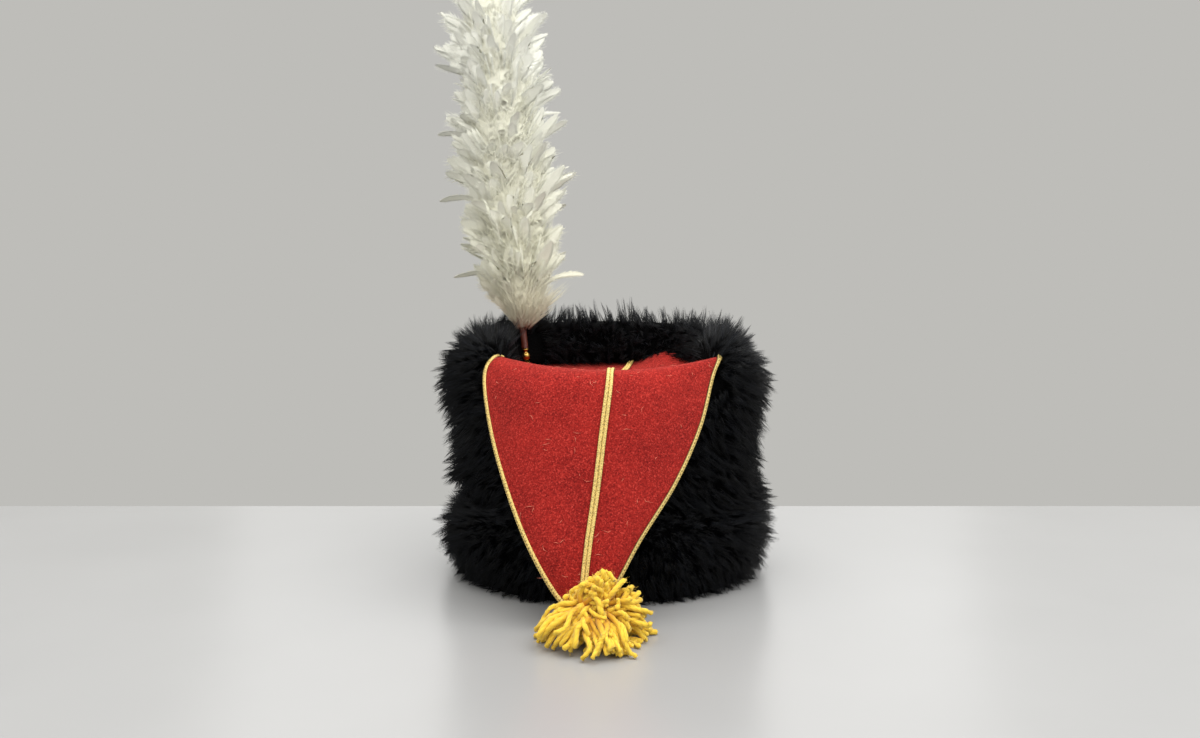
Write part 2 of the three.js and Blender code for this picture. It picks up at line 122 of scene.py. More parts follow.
def unit(vectors: Array) -> Array:
    """Scales vectors to length one."""
    return vectors / np.maximum(np.linalg.norm(vectors, axis=-1, keepdims=True), TINY)


def lerp(start: Array | float, end: Array | float, share: Array | float) -> Array:
    """Goes from start to end by a share."""
    return start + (end - start) * share


def smoothstep(values: Array, low: float, high: float) -> Array:
    """Rises smoothly from 0 at low to 1 at high."""
    share = np.clip((values - low) / (high - low), 0, 1)
    return share * share * (3 - 2 * share)


def hill(values: Array, first: float, full: float, last: float, none: float) -> Array:
    """Rises smoothly from 0 at first to 1 at full, and falls from 1 at last to 0 at none."""
    return smoothstep(values, first, full) * (1 - smoothstep(values, last, none))


def turns(count: int) -> Array:
    """Angles spread evenly over one full turn."""
    return 2 * math.pi * np.arange(count) / count


def lengths(line: Array) -> Array:
    """Lengths along a line of points, from 0 at its first point."""
    return np.append(0, np.cumsum(np.linalg.norm(np.diff(line, axis=0), axis=1)))


def bezier(start: Array, bend: Array, end: Array, steps: Array) -> Array:
    """Points of quadratic curves, (1-t)^2 start + 2t(1-t) bend + t^2 end.

    Args:
        start, bend, end: One point for each curve.
        steps: The values of t.

    Returns:
        Points as [curve, step, axis].
    """
    t = steps[None, :, None]
    return (1 - t) ** 2 * start[:, None] + 2 * t * (1 - t) * bend[:, None] + t * t * end[:, None]


class Table:
    """Named columns of numbers, read smoothly between their rows."""

    def __init__(self, names: str, *rows: tuple[float, ...]) -> None:
        """Keeps one array for each of the names."""
        self.columns = dict(zip(names.split(), np.array(rows, float).T))
        self.last = len(rows) - 1

    def at(self, name: str, row: Array | float) -> Array:
        """Reads a column at row numbers by the cubic through the four nearest rows, flat at the ends.

        Args:
            name: The column.
            row: Row numbers, whole or between.

        Returns:
            The column's values.
        """
        values = self.columns[name]
        row = np.clip(row, 0, self.last)
        low = np.minimum(np.floor(row).astype(int), self.last - 1)
        t = row - low
        before, here, there, after = (values[np.clip(low + k, 0, self.last)] for k in (-1, 0, 1, 2))
        leave, arrive = (there - before) / 2, (after - here) / 2
        cubic = 2 * here - 2 * there + leave + arrive
        square = -3 * here + 3 * there - 2 * leave - arrive
        return ((cubic * t + square) * t + leave) * t + here

    def round_at(self, turn: Array, row: Array) -> Array:
        """Goes from the left to the right column by the cosine of a turn about the axis."""
        return lerp(self.at("left", row), self.at("right", row), (1 + np.cos(turn)) / 2)

    def row(self, name: str, value: Array) -> Array:
        """Finds the row numbers where a rising column has the values."""
        return np.interp(value, self.columns[name], np.arange(self.last + 1))


# Meshes


@dataclass
class Surface:
    """Points with the faces that join them and their places on a flat map."""

    points: Array
    quads: Array
    tris: Array
    places: Array


def skin(
    rings: Array,
    poles: tuple[Array, Array] | None = None,
    tone: Array | None = None,
    span: float = 1.0,
) -> Surface:
    """Lays closed skins over rows of rings.

    Point k of a ring is joined to point k + 1 and to point k of the next ring. With poles, a fan closes
    each end; without them the last ring is joined to the first. Rings turn anticlockwise about the way on.

    Args:
        rings: Points as [skin, ring, point, axis].
        poles: The points that close the first and the last ring of each skin.
        tone: One number for each skin, for its map's first axis. Without it that axis runs round the ring.
        span: How far the map's second axis runs from the first end to the last.

    Returns:
        The joined surface.
    """
    count, steps, sides = rings.shape[:3]
    index = np.arange(count * steps * sides).reshape(count, steps, sides)
    here, there = (index, np.roll(index, -1, 1)) if poles is None else (index[:, :-1], index[:, 1:])
    quads = np.stack([here, np.roll(here, -1, 2), np.roll(there, -1, 2), there], -1).reshape(-1, 4)
    around = np.arange(sides) / sides if tone is None else tone[:, None, None]
    around = np.broadcast_to(around, (count, steps, sides))
    along = np.broadcast_to(np.linspace(0, span, steps + 2)[1:-1, None], (count, steps, sides))
    points = rings.reshape(-1, 3)
    places = np.stack([around, along], -1).reshape(-1, 2)
    if poles is None:
        return Surface(points, quads, np.zeros((0, 3), int), places)
    root = np.broadcast_to((len(points) + np.arange(count))[:, None], (count, sides))
    tip = root + count
    first, last = index[:, 0], index[:, -1]
    tris = np.concatenate([
        np.stack([np.roll(first, -1, 1), first, root], -1).reshape(-1, 3),
        np.stack([last, np.roll(last, -1, 1), tip], -1).reshape(-1, 3),
    ])
    ends = [np.stack([around[:, 0, 0], np.full(count, end)], -1) for end in (0.0, span)]
    return Surface(np.concatenate([points, *poles]), quads, tris, np.concatenate([places, *ends]))


def joined(surfaces: list[Surface]) -> Surface:
    """Puts several surfaces into one.

    Args:
        surfaces: The surfaces, in their order.

    Returns:
        One surface, whose faces count on from surface to surface.
    """
    starts = np.cumsum([0] + [len(one.points) for one in surfaces[:-1]])
    return Surface(
        np.concatenate([one.points for one in surfaces]),
        np.concatenate([one.quads + start for one, start in zip(surfaces, starts)]),
        np.concatenate([one.tris + start for one, start in zip(surfaces, starts)]),
        np.concatenate([one.places for one in surfaces]),
    )


def frames(paths: Array, side: Array) -> tuple[Array, Array]:
    """Finds the two directions square to each path, the first as near to side as it can be.

    Args:
        paths: Points as [path, step, axis].
        side: One direction for each path.

    Returns:
        Directions across and over the path, which turn anticlockwise about the way on.
    """
    ahead = unit(np.gradient(paths, axis=1))
    side = np.broadcast_to(side[:, None], paths.shape)
    across = unit(side - (side * ahead).sum(-1, keepdims=True) * ahead)
    return across, np.cross(ahead, across)


def ringed(paths: Array, side: Array, x: Array, y: Array) -> Array:
    """Carries rings along paths, at every step but the first and the last: path + x across + y over.

    Args:
        paths: Points as [path, step, axis].
        side: The direction of each path's width.
        x, y: The rings' points, as [path, step, point] or the same for all paths.

    Returns:
        Points as [path, step, point, axis].
    """
    across, over = (way[:, 1:-1, None] for way in frames(paths, side))
    return paths[:, 1:-1, None] + x[..., None] * across + y[..., None] * over


def strands(paths: Array, side: Array, wide: Array, thick: Array, sides: int, tone: Array) -> Surface:
    """Makes closed strands: ovals of wide by thick round each path, between a pole at either end.

    Args:
        paths: Points as [strand, step, axis]; the first and the last step are the poles.
        side: The direction of each strand's width.
        wide, thick: Half sizes for each ring, or for each strand and ring.
        sides: Points round a ring.
        tone: One number for each strand.

    Returns:
        All the strands as one surface.
    """
    turn = turns(sides)
    rings = ringed(paths, side, wide[..., None] * np.cos(turn), thick[..., None] * np.sin(turn))
    return skin(rings, (paths[:, 0], paths[:, -1]), tone)


def needles(root: Array, middle: Array, tip: Array, radius: Array | float, tone: Array) -> Surface:
    """Makes the finest strands, each a needle of six faces that is widest at its middle.

    Args:
        root, middle, tip: One point for each needle.
        radius: Half of the width at the middle, for all or for each.
        tone: One number for each needle.

    Returns:
        All the needles as one surface.
    """
    paths = np.stack([root, middle, tip], 1)
    wide = np.broadcast_to(radius, len(root))[:, None]
    return strands(paths, np.cross(tip - root, ASLANT), wide, wide, NEEDLE_SIDES, tone)


def new_object(name: str, surface: Surface, material: bpy.types.Material) -> bpy.types.Object:
    """Makes a smooth mesh object of a surface, with its map and its finish.

    Args:
        name: The object's name.
        surface: Its shape, in millimetres.
        material: Its finish.

    Returns:
        The object, in the scene.
    """
    corners = np.concatenate([surface.quads.ravel(), surface.tris.ravel()])
    totals = np.repeat([4, 3], [len(surface.quads), len(surface.tris)])
    starts = np.cumsum(totals) - totals
    mesh = bpy.data.meshes.new(name)
    mesh.vertices.add(len(surface.points))
    mesh.vertices.foreach_set("co", (surface.points * MM).astype(np.float32).ravel())
    mesh.loops.add(len(corners))
    mesh.loops.foreach_set("vertex_index", corners.astype(np.int32))
    mesh.polygons.add(len(totals))
    mesh.polygons.foreach_set("loop_start", starts.astype(np.int32))
    mesh.polygons.foreach_set("use_smooth", np.ones(len(totals), bool))
    layer = mesh.uv_layers.new(name=PLACE_MAP)
    layer.uv.foreach_set("vector", surface.places[corners].astype(np.float32).ravel())
    mesh.update(calc_edges=True)
    mesh.materials.append(material)
    item = bpy.data.objects.new(name, mesh)
    bpy.context.scene.collection.objects.link(item)
    LOG.info("%s: %d triangles", name, 2 * len(surface.quads) + len(surface.tris))
    return item


def add_piece(
    name: str, surface: Surface, material: bpy.types.Material, node: str = ""
) -> bpy.types.Object:
    """Makes a piece that rides on the part's body.

    Args:
        name: The piece's name.
        surface: Its shape, in millimetres.
        material: Its finish.
        node: The CAD node that it stands for, if it stands for one.

    Returns:
        The piece's object.
    """
    piece = new_object(name, surface, material)
    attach(piece, BODY)
    if node:
        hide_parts(node)
    return piece


def soften(item: bpy.types.Object, toward: Array, share: float) -> None:
    """Leans the normals of a mesh towards directions, so that leaves which lie all ways shade as one body.

    The part of a direction that runs along the surface, times the share, is added to the normal.

    Args:
        item: The mesh object.
        toward: One direction for each of its points.
        share: How strongly the normals lean.
    """
    own = np.empty(3 * len(toward), np.float32)
    item.data.vertex_normals.foreach_get("vector", own)
    own = own.reshape(-1, 3)
    along = toward - (toward * own).sum(-1, keepdims=True) * own
    item.data.normals_split_custom_set_from_vertices(unit(own + share * along))


# Finishes


class Shader:
    """The node tree of a material or a world, filled by one call for each node."""

    def __init__(self, holder: bpy.types.Material | bpy.types.World) -> None:
        """Empties the holder's tree.

        Args:
            holder: The material or world to fill.
        """
        self.holder = holder
        self.holder.use_nodes = True
        self.tree = self.holder.node_tree
        self.tree.nodes.clear()

    def add(self, kind: str, *values: object, **fields: object) -> bpy.types.Node:
        """Adds a node with its settings, and fills its inputs with values or links.

        A node that is given as a value is linked by the first output that it shows.

        Args:
            kind: The node's type without its ShaderNode prefix.
            values: Values, nodes or sockets for the inputs that the node shows, in their order.
            fields: Its settings in small letters, and inputs by their names, with underscores for spaces.

        Returns:
            The node.
        """
        node = self.tree.nodes.new("ShaderNode" + kind)
        named = {name: fields.pop(name) for name in list(fields) if name[0].isupper()}
        for name, value in fields.items():
            setattr(node, name, value)
        filled = list(zip([socket for socket in node.inputs if socket.enabled], values))
        filled += [(node.inputs[name.replace("_", " ")], value) for name, value in named.items()]
        for socket, value in filled:
            if isinstance(value, bpy.types.Node):
                value = next(output for output in value.outputs if output.enabled)
            if isinstance(value, bpy.types.NodeSocket):
                self.tree.links.new(value, socket)
            else:
                socket.default_value = value
        return node

    def place(self) -> tuple[bpy.types.NodeSocket, bpy.types.NodeSocket]:
        """Gives the two axes of a piece's own map."""
        axes = self.add("SeparateXYZ", self.add("UVMap", uv_map=PLACE_MAP))
        return axes.outputs[0], axes.outputs[1]

    def spot(self) -> bpy.types.NodeSocket:
        """Gives the place in the part's frame, in metres."""
        return self.add("TexCoord").outputs["Object"]

    def surface(self, **inputs: object) -> bpy.types.Material:
        """Ends a material with its surface, and gives the material."""
        self.add("OutputMaterial", self.add("BsdfPrincipled", **inputs))
        return self.holder


def material_shader(name: str) -> Shader:
    """Starts a new material."""
    return Shader(bpy.data.materials.new(name))


@dataclass(frozen=True)
class DyedFur:
    """Black dyed long-hair fur: nearly no light comes back, and a painted soft blue-grey highlight lies
    along the hair tips.
    """

    root: str = "#020202"
    tip: str = "#20232a"
    roughness: float = 0.34
    gloss: float = 0.17

    def material(self) -> bpy.types.Material:
        """Paints a blue-grey highlight that grows from each hair's black root to its tip, with a tone of its
        own.

        Returns:
            The material.
        """
        shader = material_shader("dyed_fur")
        tone, along = shader.place()
        # The hair's tone times its place along it sets how much painted highlight the hair gets.
        share = shader.add("Math", tone, along, operation="MULTIPLY")
        color = shader.add("Mix", share, linear(self.root), linear(self.tip), data_type="RGBA")
        return shader.surface(Base_Color=color, Roughness=self.roughness, Specular_IOR_Level=self.gloss)


@dataclass(frozen=True)
class UnderFur:
    """Short woolly black fur under the hair: matt, and broken up by fine tufts."""

    deep: str = "#010101"
    light: str = "#060607"
    tuft: float = 2.0
    relief: float = 2.0
    roughness: float = 0.9
    gloss: float = 0.05

    def material(self) -> bpy.types.Material:
        """Mottles the black by tufts and lets them stand up.

        Returns:
            The material.
        """
        shader = material_shader("under_fur")
        tufts = shader.add("TexNoise", shader.spot(), per_mm(self.tuft), 4.0)
        color = shader.add("Mix", tufts, linear(self.deep), linear(self.light), data_type="RGBA")
        normal = shader.add("Bump", Height=tufts, Distance=self.relief * MM, Strength=0.8)
        return shader.surface(
            Base_Color=color, Roughness=self.roughness, Specular_IOR_Level=self.gloss, Normal=normal
        )


@dataclass(frozen=True)
class SuedeHide:
    """The flesh side of the hide: dull grey-brown suede with a cloudy dye."""

    dark: str = "#241d18"
    pale: str = "#4a3d33"
    cloud: float = 18.0
    nap: float = 0.7
    relief: float = 0.2
    roughness: float = 0.95
    sheen: float = 0.15

    def material(self) -> bpy.types.Material:
        """Clouds the dye and raises the nap.

        Returns:
            The material.
        """
        shader = material_shader("suede_hide")
        clouds = shader.add("TexNoise", shader.spot(), per_mm(self.cloud), 4.0)
        color = shader.add("Mix", clouds, linear(self.dark), linear(self.pale), data_type="RGBA")
        nap = shader.add("TexNoise", shader.spot(), per_mm(self.nap), 2.0)
        normal = shader.add("Bump", Height=nap, Distance=self.relief * MM, Strength=0.6)
        return shader.surface(
            Base_Color=color, Roughness=self.roughness, Sheen_Weight=self.sheen, Normal=normal
        )


@dataclass(frozen=True)
class WoolFelt:
    """Red milled wool felt: a matt cloth of matted fibres that speckle it dark and light, with a painted
    highlight on the brightest specks, and a soft nap.

    The speckle is drawn at about twice the size of real matted fibres so that it shows.
    """

    dark: str = "#5e1012"
    bright: str = "#b82e27"
    glint: str = "#d6544a"
    nap: str = "#ff8a7a"
    speck: float = 0.75
    tuft: float = 1.3
    cloud: float = 34.0
    cloud_share: float = 0.22
    relief: float = 0.5
    roughness: float = 0.95
    gloss: float = 0.1
    sheen: float = 0.3
    sheen_roughness: float = 0.4

    def material(self) -> bpy.types.Material:
        """Speckles and clouds the red, paints a highlight on the brightest specks, and raises the matted
        fibres.

        Returns:
            The material.
        """
        shader = material_shader("wool_felt")
        spot = shader.spot()
        grain = shader.add("TexVoronoi", spot, per_mm(self.speck)).outputs["Color"]
        tufts = shader.add("TexNoise", spot, per_mm(self.tuft), 4.0)
        specks = shader.add("Math", grain, 0.7, tufts, operation="MULTIPLY_ADD")
        sharp = shader.add("MapRange", specks, 0.45, 1.2)
        sharp = shader.add("Math", sharp, 1 - self.cloud_share, operation="MULTIPLY")
        clouds = shader.add("MapRange", shader.add("TexNoise", spot, per_mm(self.cloud), 3.0), 0.3, 0.7)
        share = shader.add("Math", clouds, self.cloud_share, sharp, operation="MULTIPLY_ADD")
        matted = shader.add("Mix", share, linear(self.dark), linear(self.bright), data_type="RGBA")
        # The brightest specks take up to half of a painted highlight colour.
        lit = shader.add("MapRange", specks, 0.95, 1.3, 0.0, 0.5)
        color = shader.add("Mix", lit, matted, linear(self.glint), data_type="RGBA")
        normal = shader.add("Bump", Height=specks, Distance=self.relief * MM, Strength=0.8)
        return shader.surface(
            Base_Color=color,
            Roughness=self.roughness,
            Specular_IOR_Level=self.gloss,
            Sheen_Weight=self.sheen,
            Sheen_Roughness=self.sheen_roughness,
            Sheen_Tint=linear(self.nap),
            Normal=normal,
        )


@dataclass(frozen=True)
class FeltFibre:
    """Loose fibres that stand off the felt: red, and a few paler ones that catch the light."""

    red: str = "#ac2c25"
    pale: str = "#f5937a"
    pale_from: float = 0.96
    roughness: float = 0.8
    gloss: float = 0.2

    def material(self) -> bpy.types.Material:
        """Gives a few fibres the pale colour.

        Returns:
            The material.
        """
        shader = material_shader("felt_fibre")
        tone, _ = shader.place()
        share = shader.add("Math", tone, self.pale_from, operation="GREATER_THAN")
        color = shader.add("Mix", share, linear(self.red), linear(self.pale), data_type="RGBA")
        return shader.surface(Base_Color=color, Roughness=self.roughness, Specular_IOR_Level=self.gloss)


@dataclass(frozen=True)
class GoldBraid:
    """Braided pale gold thread: light slanting ridges, with painted olive shade where the threads dive.

    The painted shade follows a groove along the braid, at its own place round the section, in dots a stitch
    apart, and gathers as a painted shadow at either end of the part of the section that shows, where the
    braid meets the cloth.
    """

    groove: float
    shown: float
    ridge: str = "#e9cb78"
    shade: str = "#453409"
    stitch: float = 2.9
    groove_width: float = 0.055
    painted_shadow_width: float = 0.07
    painted_shadow_edge: float = 0.01
    thread: float = 0.8
    relief: float = 0.2
    roughness: float = 0.5
    gloss: float = 0.4

    def material(self) -> bpy.types.Material:
        """Darkens the threads at random, paints shade into the dotted groove and a shadow at the ends. The
        map runs along the braid in metres.

        Returns:
            The material.
        """
        shader = material_shader("gold_braid")
        around, along = shader.place()
        # Painted shade in dots a stitch apart along the groove where the threads dive.
        phase = shader.add("Math", along, 2 * math.pi / (self.stitch * MM), operation="MULTIPLY")
        wave = shader.add("Math", phase, operation="SINE")
        off = shader.add("Math", around, self.groove, operation="SUBTRACT")
        off = shader.add("Math", off, operation="ABSOLUTE")
        near = shader.add("MapRange", off, self.groove_width, 0.0)
        dots = shader.add("MapRange", wave, -0.5, 0.6, 0.2, 1.0)
        dots = shader.add("Math", near, dots, operation="MULTIPLY")
        # Painted shadow at the ends of the shown section, where the braid meets the cloth.
        half = self.shown / 2
        away = shader.add("Math", around, half, operation="SUBTRACT")
        away = shader.add("Math", away, operation="ABSOLUTE")
        ends = shader.add("MapRange", away, half - self.painted_shadow_width, half - self.painted_shadow_edge)
        threads = shader.add("TexNoise", shader.spot(), per_mm(self.thread), 2.0)
        dark = shader.add("MapRange", threads, 0.5, 0.36, 0.0, 0.7)
        dark = shader.add("Math", dots, dark, operation="MAXIMUM")
        dark = shader.add("Math", dark, ends, operation="MAXIMUM")
        color = shader.add("Mix", dark, linear(self.ridge), linear(self.shade), data_type="RGBA")
        normal = shader.add("Bump", Height=threads, Distance=self.relief * MM, Strength=0.6)
        return shader.surface(
            Base_Color=color, Roughness=self.roughness, Specular_IOR_Level=self.gloss, Normal=normal
        )


@dataclass(frozen=True)
class WoolYarn:
    """Loosely plied yellow yarn: matt and fluffy, with painted amber shade between plies and deep among the
    strands, lemon at the ends.
    """

    deep: str = "#b8720a"
    bright: str = "#f1cb45"
    fibre: float = 0.5
    plies: int = 3
    relief: float = 0.4
    roughness: float = 0.9
    gloss: float = 0.15
    sheen: float = 0.2
    sheen_roughness: float = 0.5

    def material(self) -> bpy.types.Material:
        """Paints amber shade into the grooves between its plies and towards each strand's root, lemon to its
        end, and roughens it.

        Returns:
            The material.
        """
        shader = material_shader("wool_yarn")
        around, along = shader.place()
        # Painted shade: the grooves between the plies keep some amber, and each strand is amber up to its
        # root.
        phase = shader.add("Math", around, 2 * math.pi * self.plies, operation="MULTIPLY")
        wave = shader.add("Math", phase, operation="COSINE")
        crest = shader.add("MapRange", wave, -1.0, 0.0, 0.8, 1.0)
        reach = shader.add("MapRange", along, 0.05, 0.6)
        share = shader.add("Math", crest, reach, operation="MULTIPLY")
        color = shader.add("Mix", share, linear(self.deep), linear(self.bright), data_type="RGBA")
        fibres = shader.add("TexNoise", shader.spot(), per_mm(self.fibre), 3.0)
        normal = shader.add("Bump", Height=fibres, Distance=self.relief * MM, Strength=0.6)
        return shader.surface(
            Base_Color=color,
            Roughness=self.roughness,
            Specular_IOR_Level=self.gloss,
            Sheen_Weight=self.sheen,
            Sheen_Roughness=self.sheen_roughness,
            Normal=normal,
        )


@dataclass(frozen=True)
class FeatherTint:
    """The plume's colour by height: beige at its foot, then ivory that whitens towards its top.

    The heights, over which one colour goes into the next, are metres above the floor.
    """

    foot: str = "#dfceb6"
    ivory: str = "#e4e2cf"
    white: str = "#ebebe0"
    foot_heights: Range = (0.19, 0.245)
    ivory_heights: Range = (0.24, 0.4)

    def color(self, shader: Shader) -> bpy.types.Node:
        """Blends the three colours by height.

        Args:
            shader: The material that they are for.

        Returns:
            The node that gives the colour.
        """
        height = shader.add("SeparateXYZ", shader.spot()).outputs["Z"]
        whiter = shader.add("MapRange", height, *self.ivory_heights)
        leaf = shader.add("Mix", whiter, linear(self.ivory), linear(self.white), data_type="RGBA")
        above = shader.add("MapRange", height, *self.foot_heights)
        return shader.add("Mix", above, linear(self.foot), leaf, data_type="RGBA")


@dataclass(frozen=True)
class FeatherVane:
    """Bleached cock hackle: a silky ivory leaf ribbed by its barbs, shaded towards its root.

    The barbs are drawn wider apart than real ones so that they show.
    """

    shade: str = "#d8d6c2"
    barbs: float = 30.0
    slant: float = 5.0
    root_shade: float = 0.4
    rib_shade: float = 0.35
    relief: float = 0.25
    roughness: float = 0.55
    gloss: float = 0.25

    def material(self) -> bpy.types.Material:
        """Shades each leaf's root and ribs it aslant from its middle line.

        Returns:
            The material.
        """
        shader = material_shader("feather_vane")
        around, along = shader.place()
        half = shader.add("Math", around, 4.0, -2.0, operation="MULTIPLY_ADD")
        half = shader.add("Math", half, operation="ABSOLUTE")
        off = shader.add("Math", half, 1.0, operation="SUBTRACT")
        off = shader.add("Math", off, operation="ABSOLUTE")
        slant = shader.add("Math", off, -self.slant, operation="MULTIPLY")
        phase = shader.add("Math", along, self.barbs, slant, operation="MULTIPLY_ADD")
        phase = shader.add("Math", phase, 2 * math.pi, operation="MULTIPLY")
        rib = shader.add("Math", phase, operation="SINE")
        root = shader.add("MapRange", along, 0.1, 0.5, self.root_shade, 0.0)
        groove = shader.add("MapRange", rib, -1.0, -0.3, self.rib_shade, 0.0)
        dark = shader.add("Math", root, groove, operation="ADD")
        color = shader.add("Mix", dark, FeatherTint().color(shader), linear(self.shade), data_type="RGBA")
        normal = shader.add("Bump", Height=rib, Distance=self.relief * MM, Strength=0.5)
        return shader.surface(
            Base_Color=color, Roughness=self.roughness, Specular_IOR_Level=self.gloss, Normal=normal
        )


@dataclass(frozen=True)
class FeatherBarb:
    """Loose barbs and down of the plume: fine ivory threads, beige at the foot, with a share of painted
    shade that makes the down darker and yellower.
    """

    depth: float
    shade: str = "#d4d1b6"
    roughness: float = 0.6
    gloss: float = 0.2

    def material(self) -> bpy.types.Material:
        """Mixes the depth's share of painted shade into the plume's colour.

        Returns:
            The material.
        """
        shader = material_shader("feather_barb")
        height_tint = FeatherTint().color(shader)
        # The depth is the share of painted shade, the same all over this material.
        color = shader.add("Mix", self.depth, height_tint, linear(self.shade), data_type="RGBA")
        return shader.surface(Base_Color=color, Roughness=self.roughness, Specular_IOR_Level=self.gloss)


@dataclass(frozen=True)
class WoundThread:
    """Dark red-brown silk thread wound tight on the stem: each turn has a narrow glint."""

    dark: str = "#2a0d08"
    light: str = "#7a3a26"
    strand: float = 0.6
    roughness: float = 0.35
    gloss: float = 0.6

    def material(self) -> bpy.types.Material:
        """Varies the brown from strand to strand.

        Returns:
            The material.
        """
        shader = material_shader("wound_thread")
        fibres = shader.add("TexNoise", shader.spot(), per_mm(self.strand), 3.0)
        color = shader.add("Mix", fibres, linear(self.dark), linear(self.light), data_type="RGBA")
        return shader.surface(Base_Color=color, Roughness=self.roughness, Specular_IOR_Level=self.gloss)


@dataclass(frozen=True)
class WornBrass:
    """Turned brass, once polished: bright where it is rubbed and dull brown where it is not."""

    bright: str = "#d9b15f"
    dull: str = "#8a6430"
    patch: float = 2.2
    roughness: Range = (0.18, 0.42)

    def material(self) -> bpy.types.Material:
        """Dulls the polish in patches.

        Returns:
            The material.
        """
        shader = material_shader("worn_brass")
        patches = shader.add("TexNoise", shader.spot(), per_mm(self.patch), 4.0)
        color = shader.add("Mix", patches, linear(self.bright), linear(self.dull), data_type="RGBA")
        roughness = shader.add("MapRange", patches, 0.3, 0.7, *self.roughness)
        return shader.surface(Base_Color=color, Metallic=1.0, Roughness=roughness)


@dataclass(frozen=True)
class WhiteLaminate:
    """White laminate of the table: pale and slightly cloudy, with a soft gloss."""

    dark: str = "#9d9d9d"
    pale: str = "#a5a5a5"
    cloud: float = 160.0
    roughness: float = 0.28
    gloss: float = 0.5

    def material(self) -> bpy.types.Material:
        """Clouds the white.

        Returns:
            The material.
        """
        shader = material_shader("white_laminate")
        clouds = shader.add("TexNoise", shader.spot(), per_mm(self.cloud), 3.0)
        color = shader.add("Mix", clouds, linear(self.dark), linear(self.pale), data_type="RGBA")
        return shader.surface(Base_Color=color, Roughness=self.roughness, Specular_IOR_Level=self.gloss)


# Cap


@dataclass(frozen=True)
class Band:
    """A stretch of the fur's outline, from a first to a last row, with its number of tufts."""

    name: str
    first: float
    last: float
    tufts: int


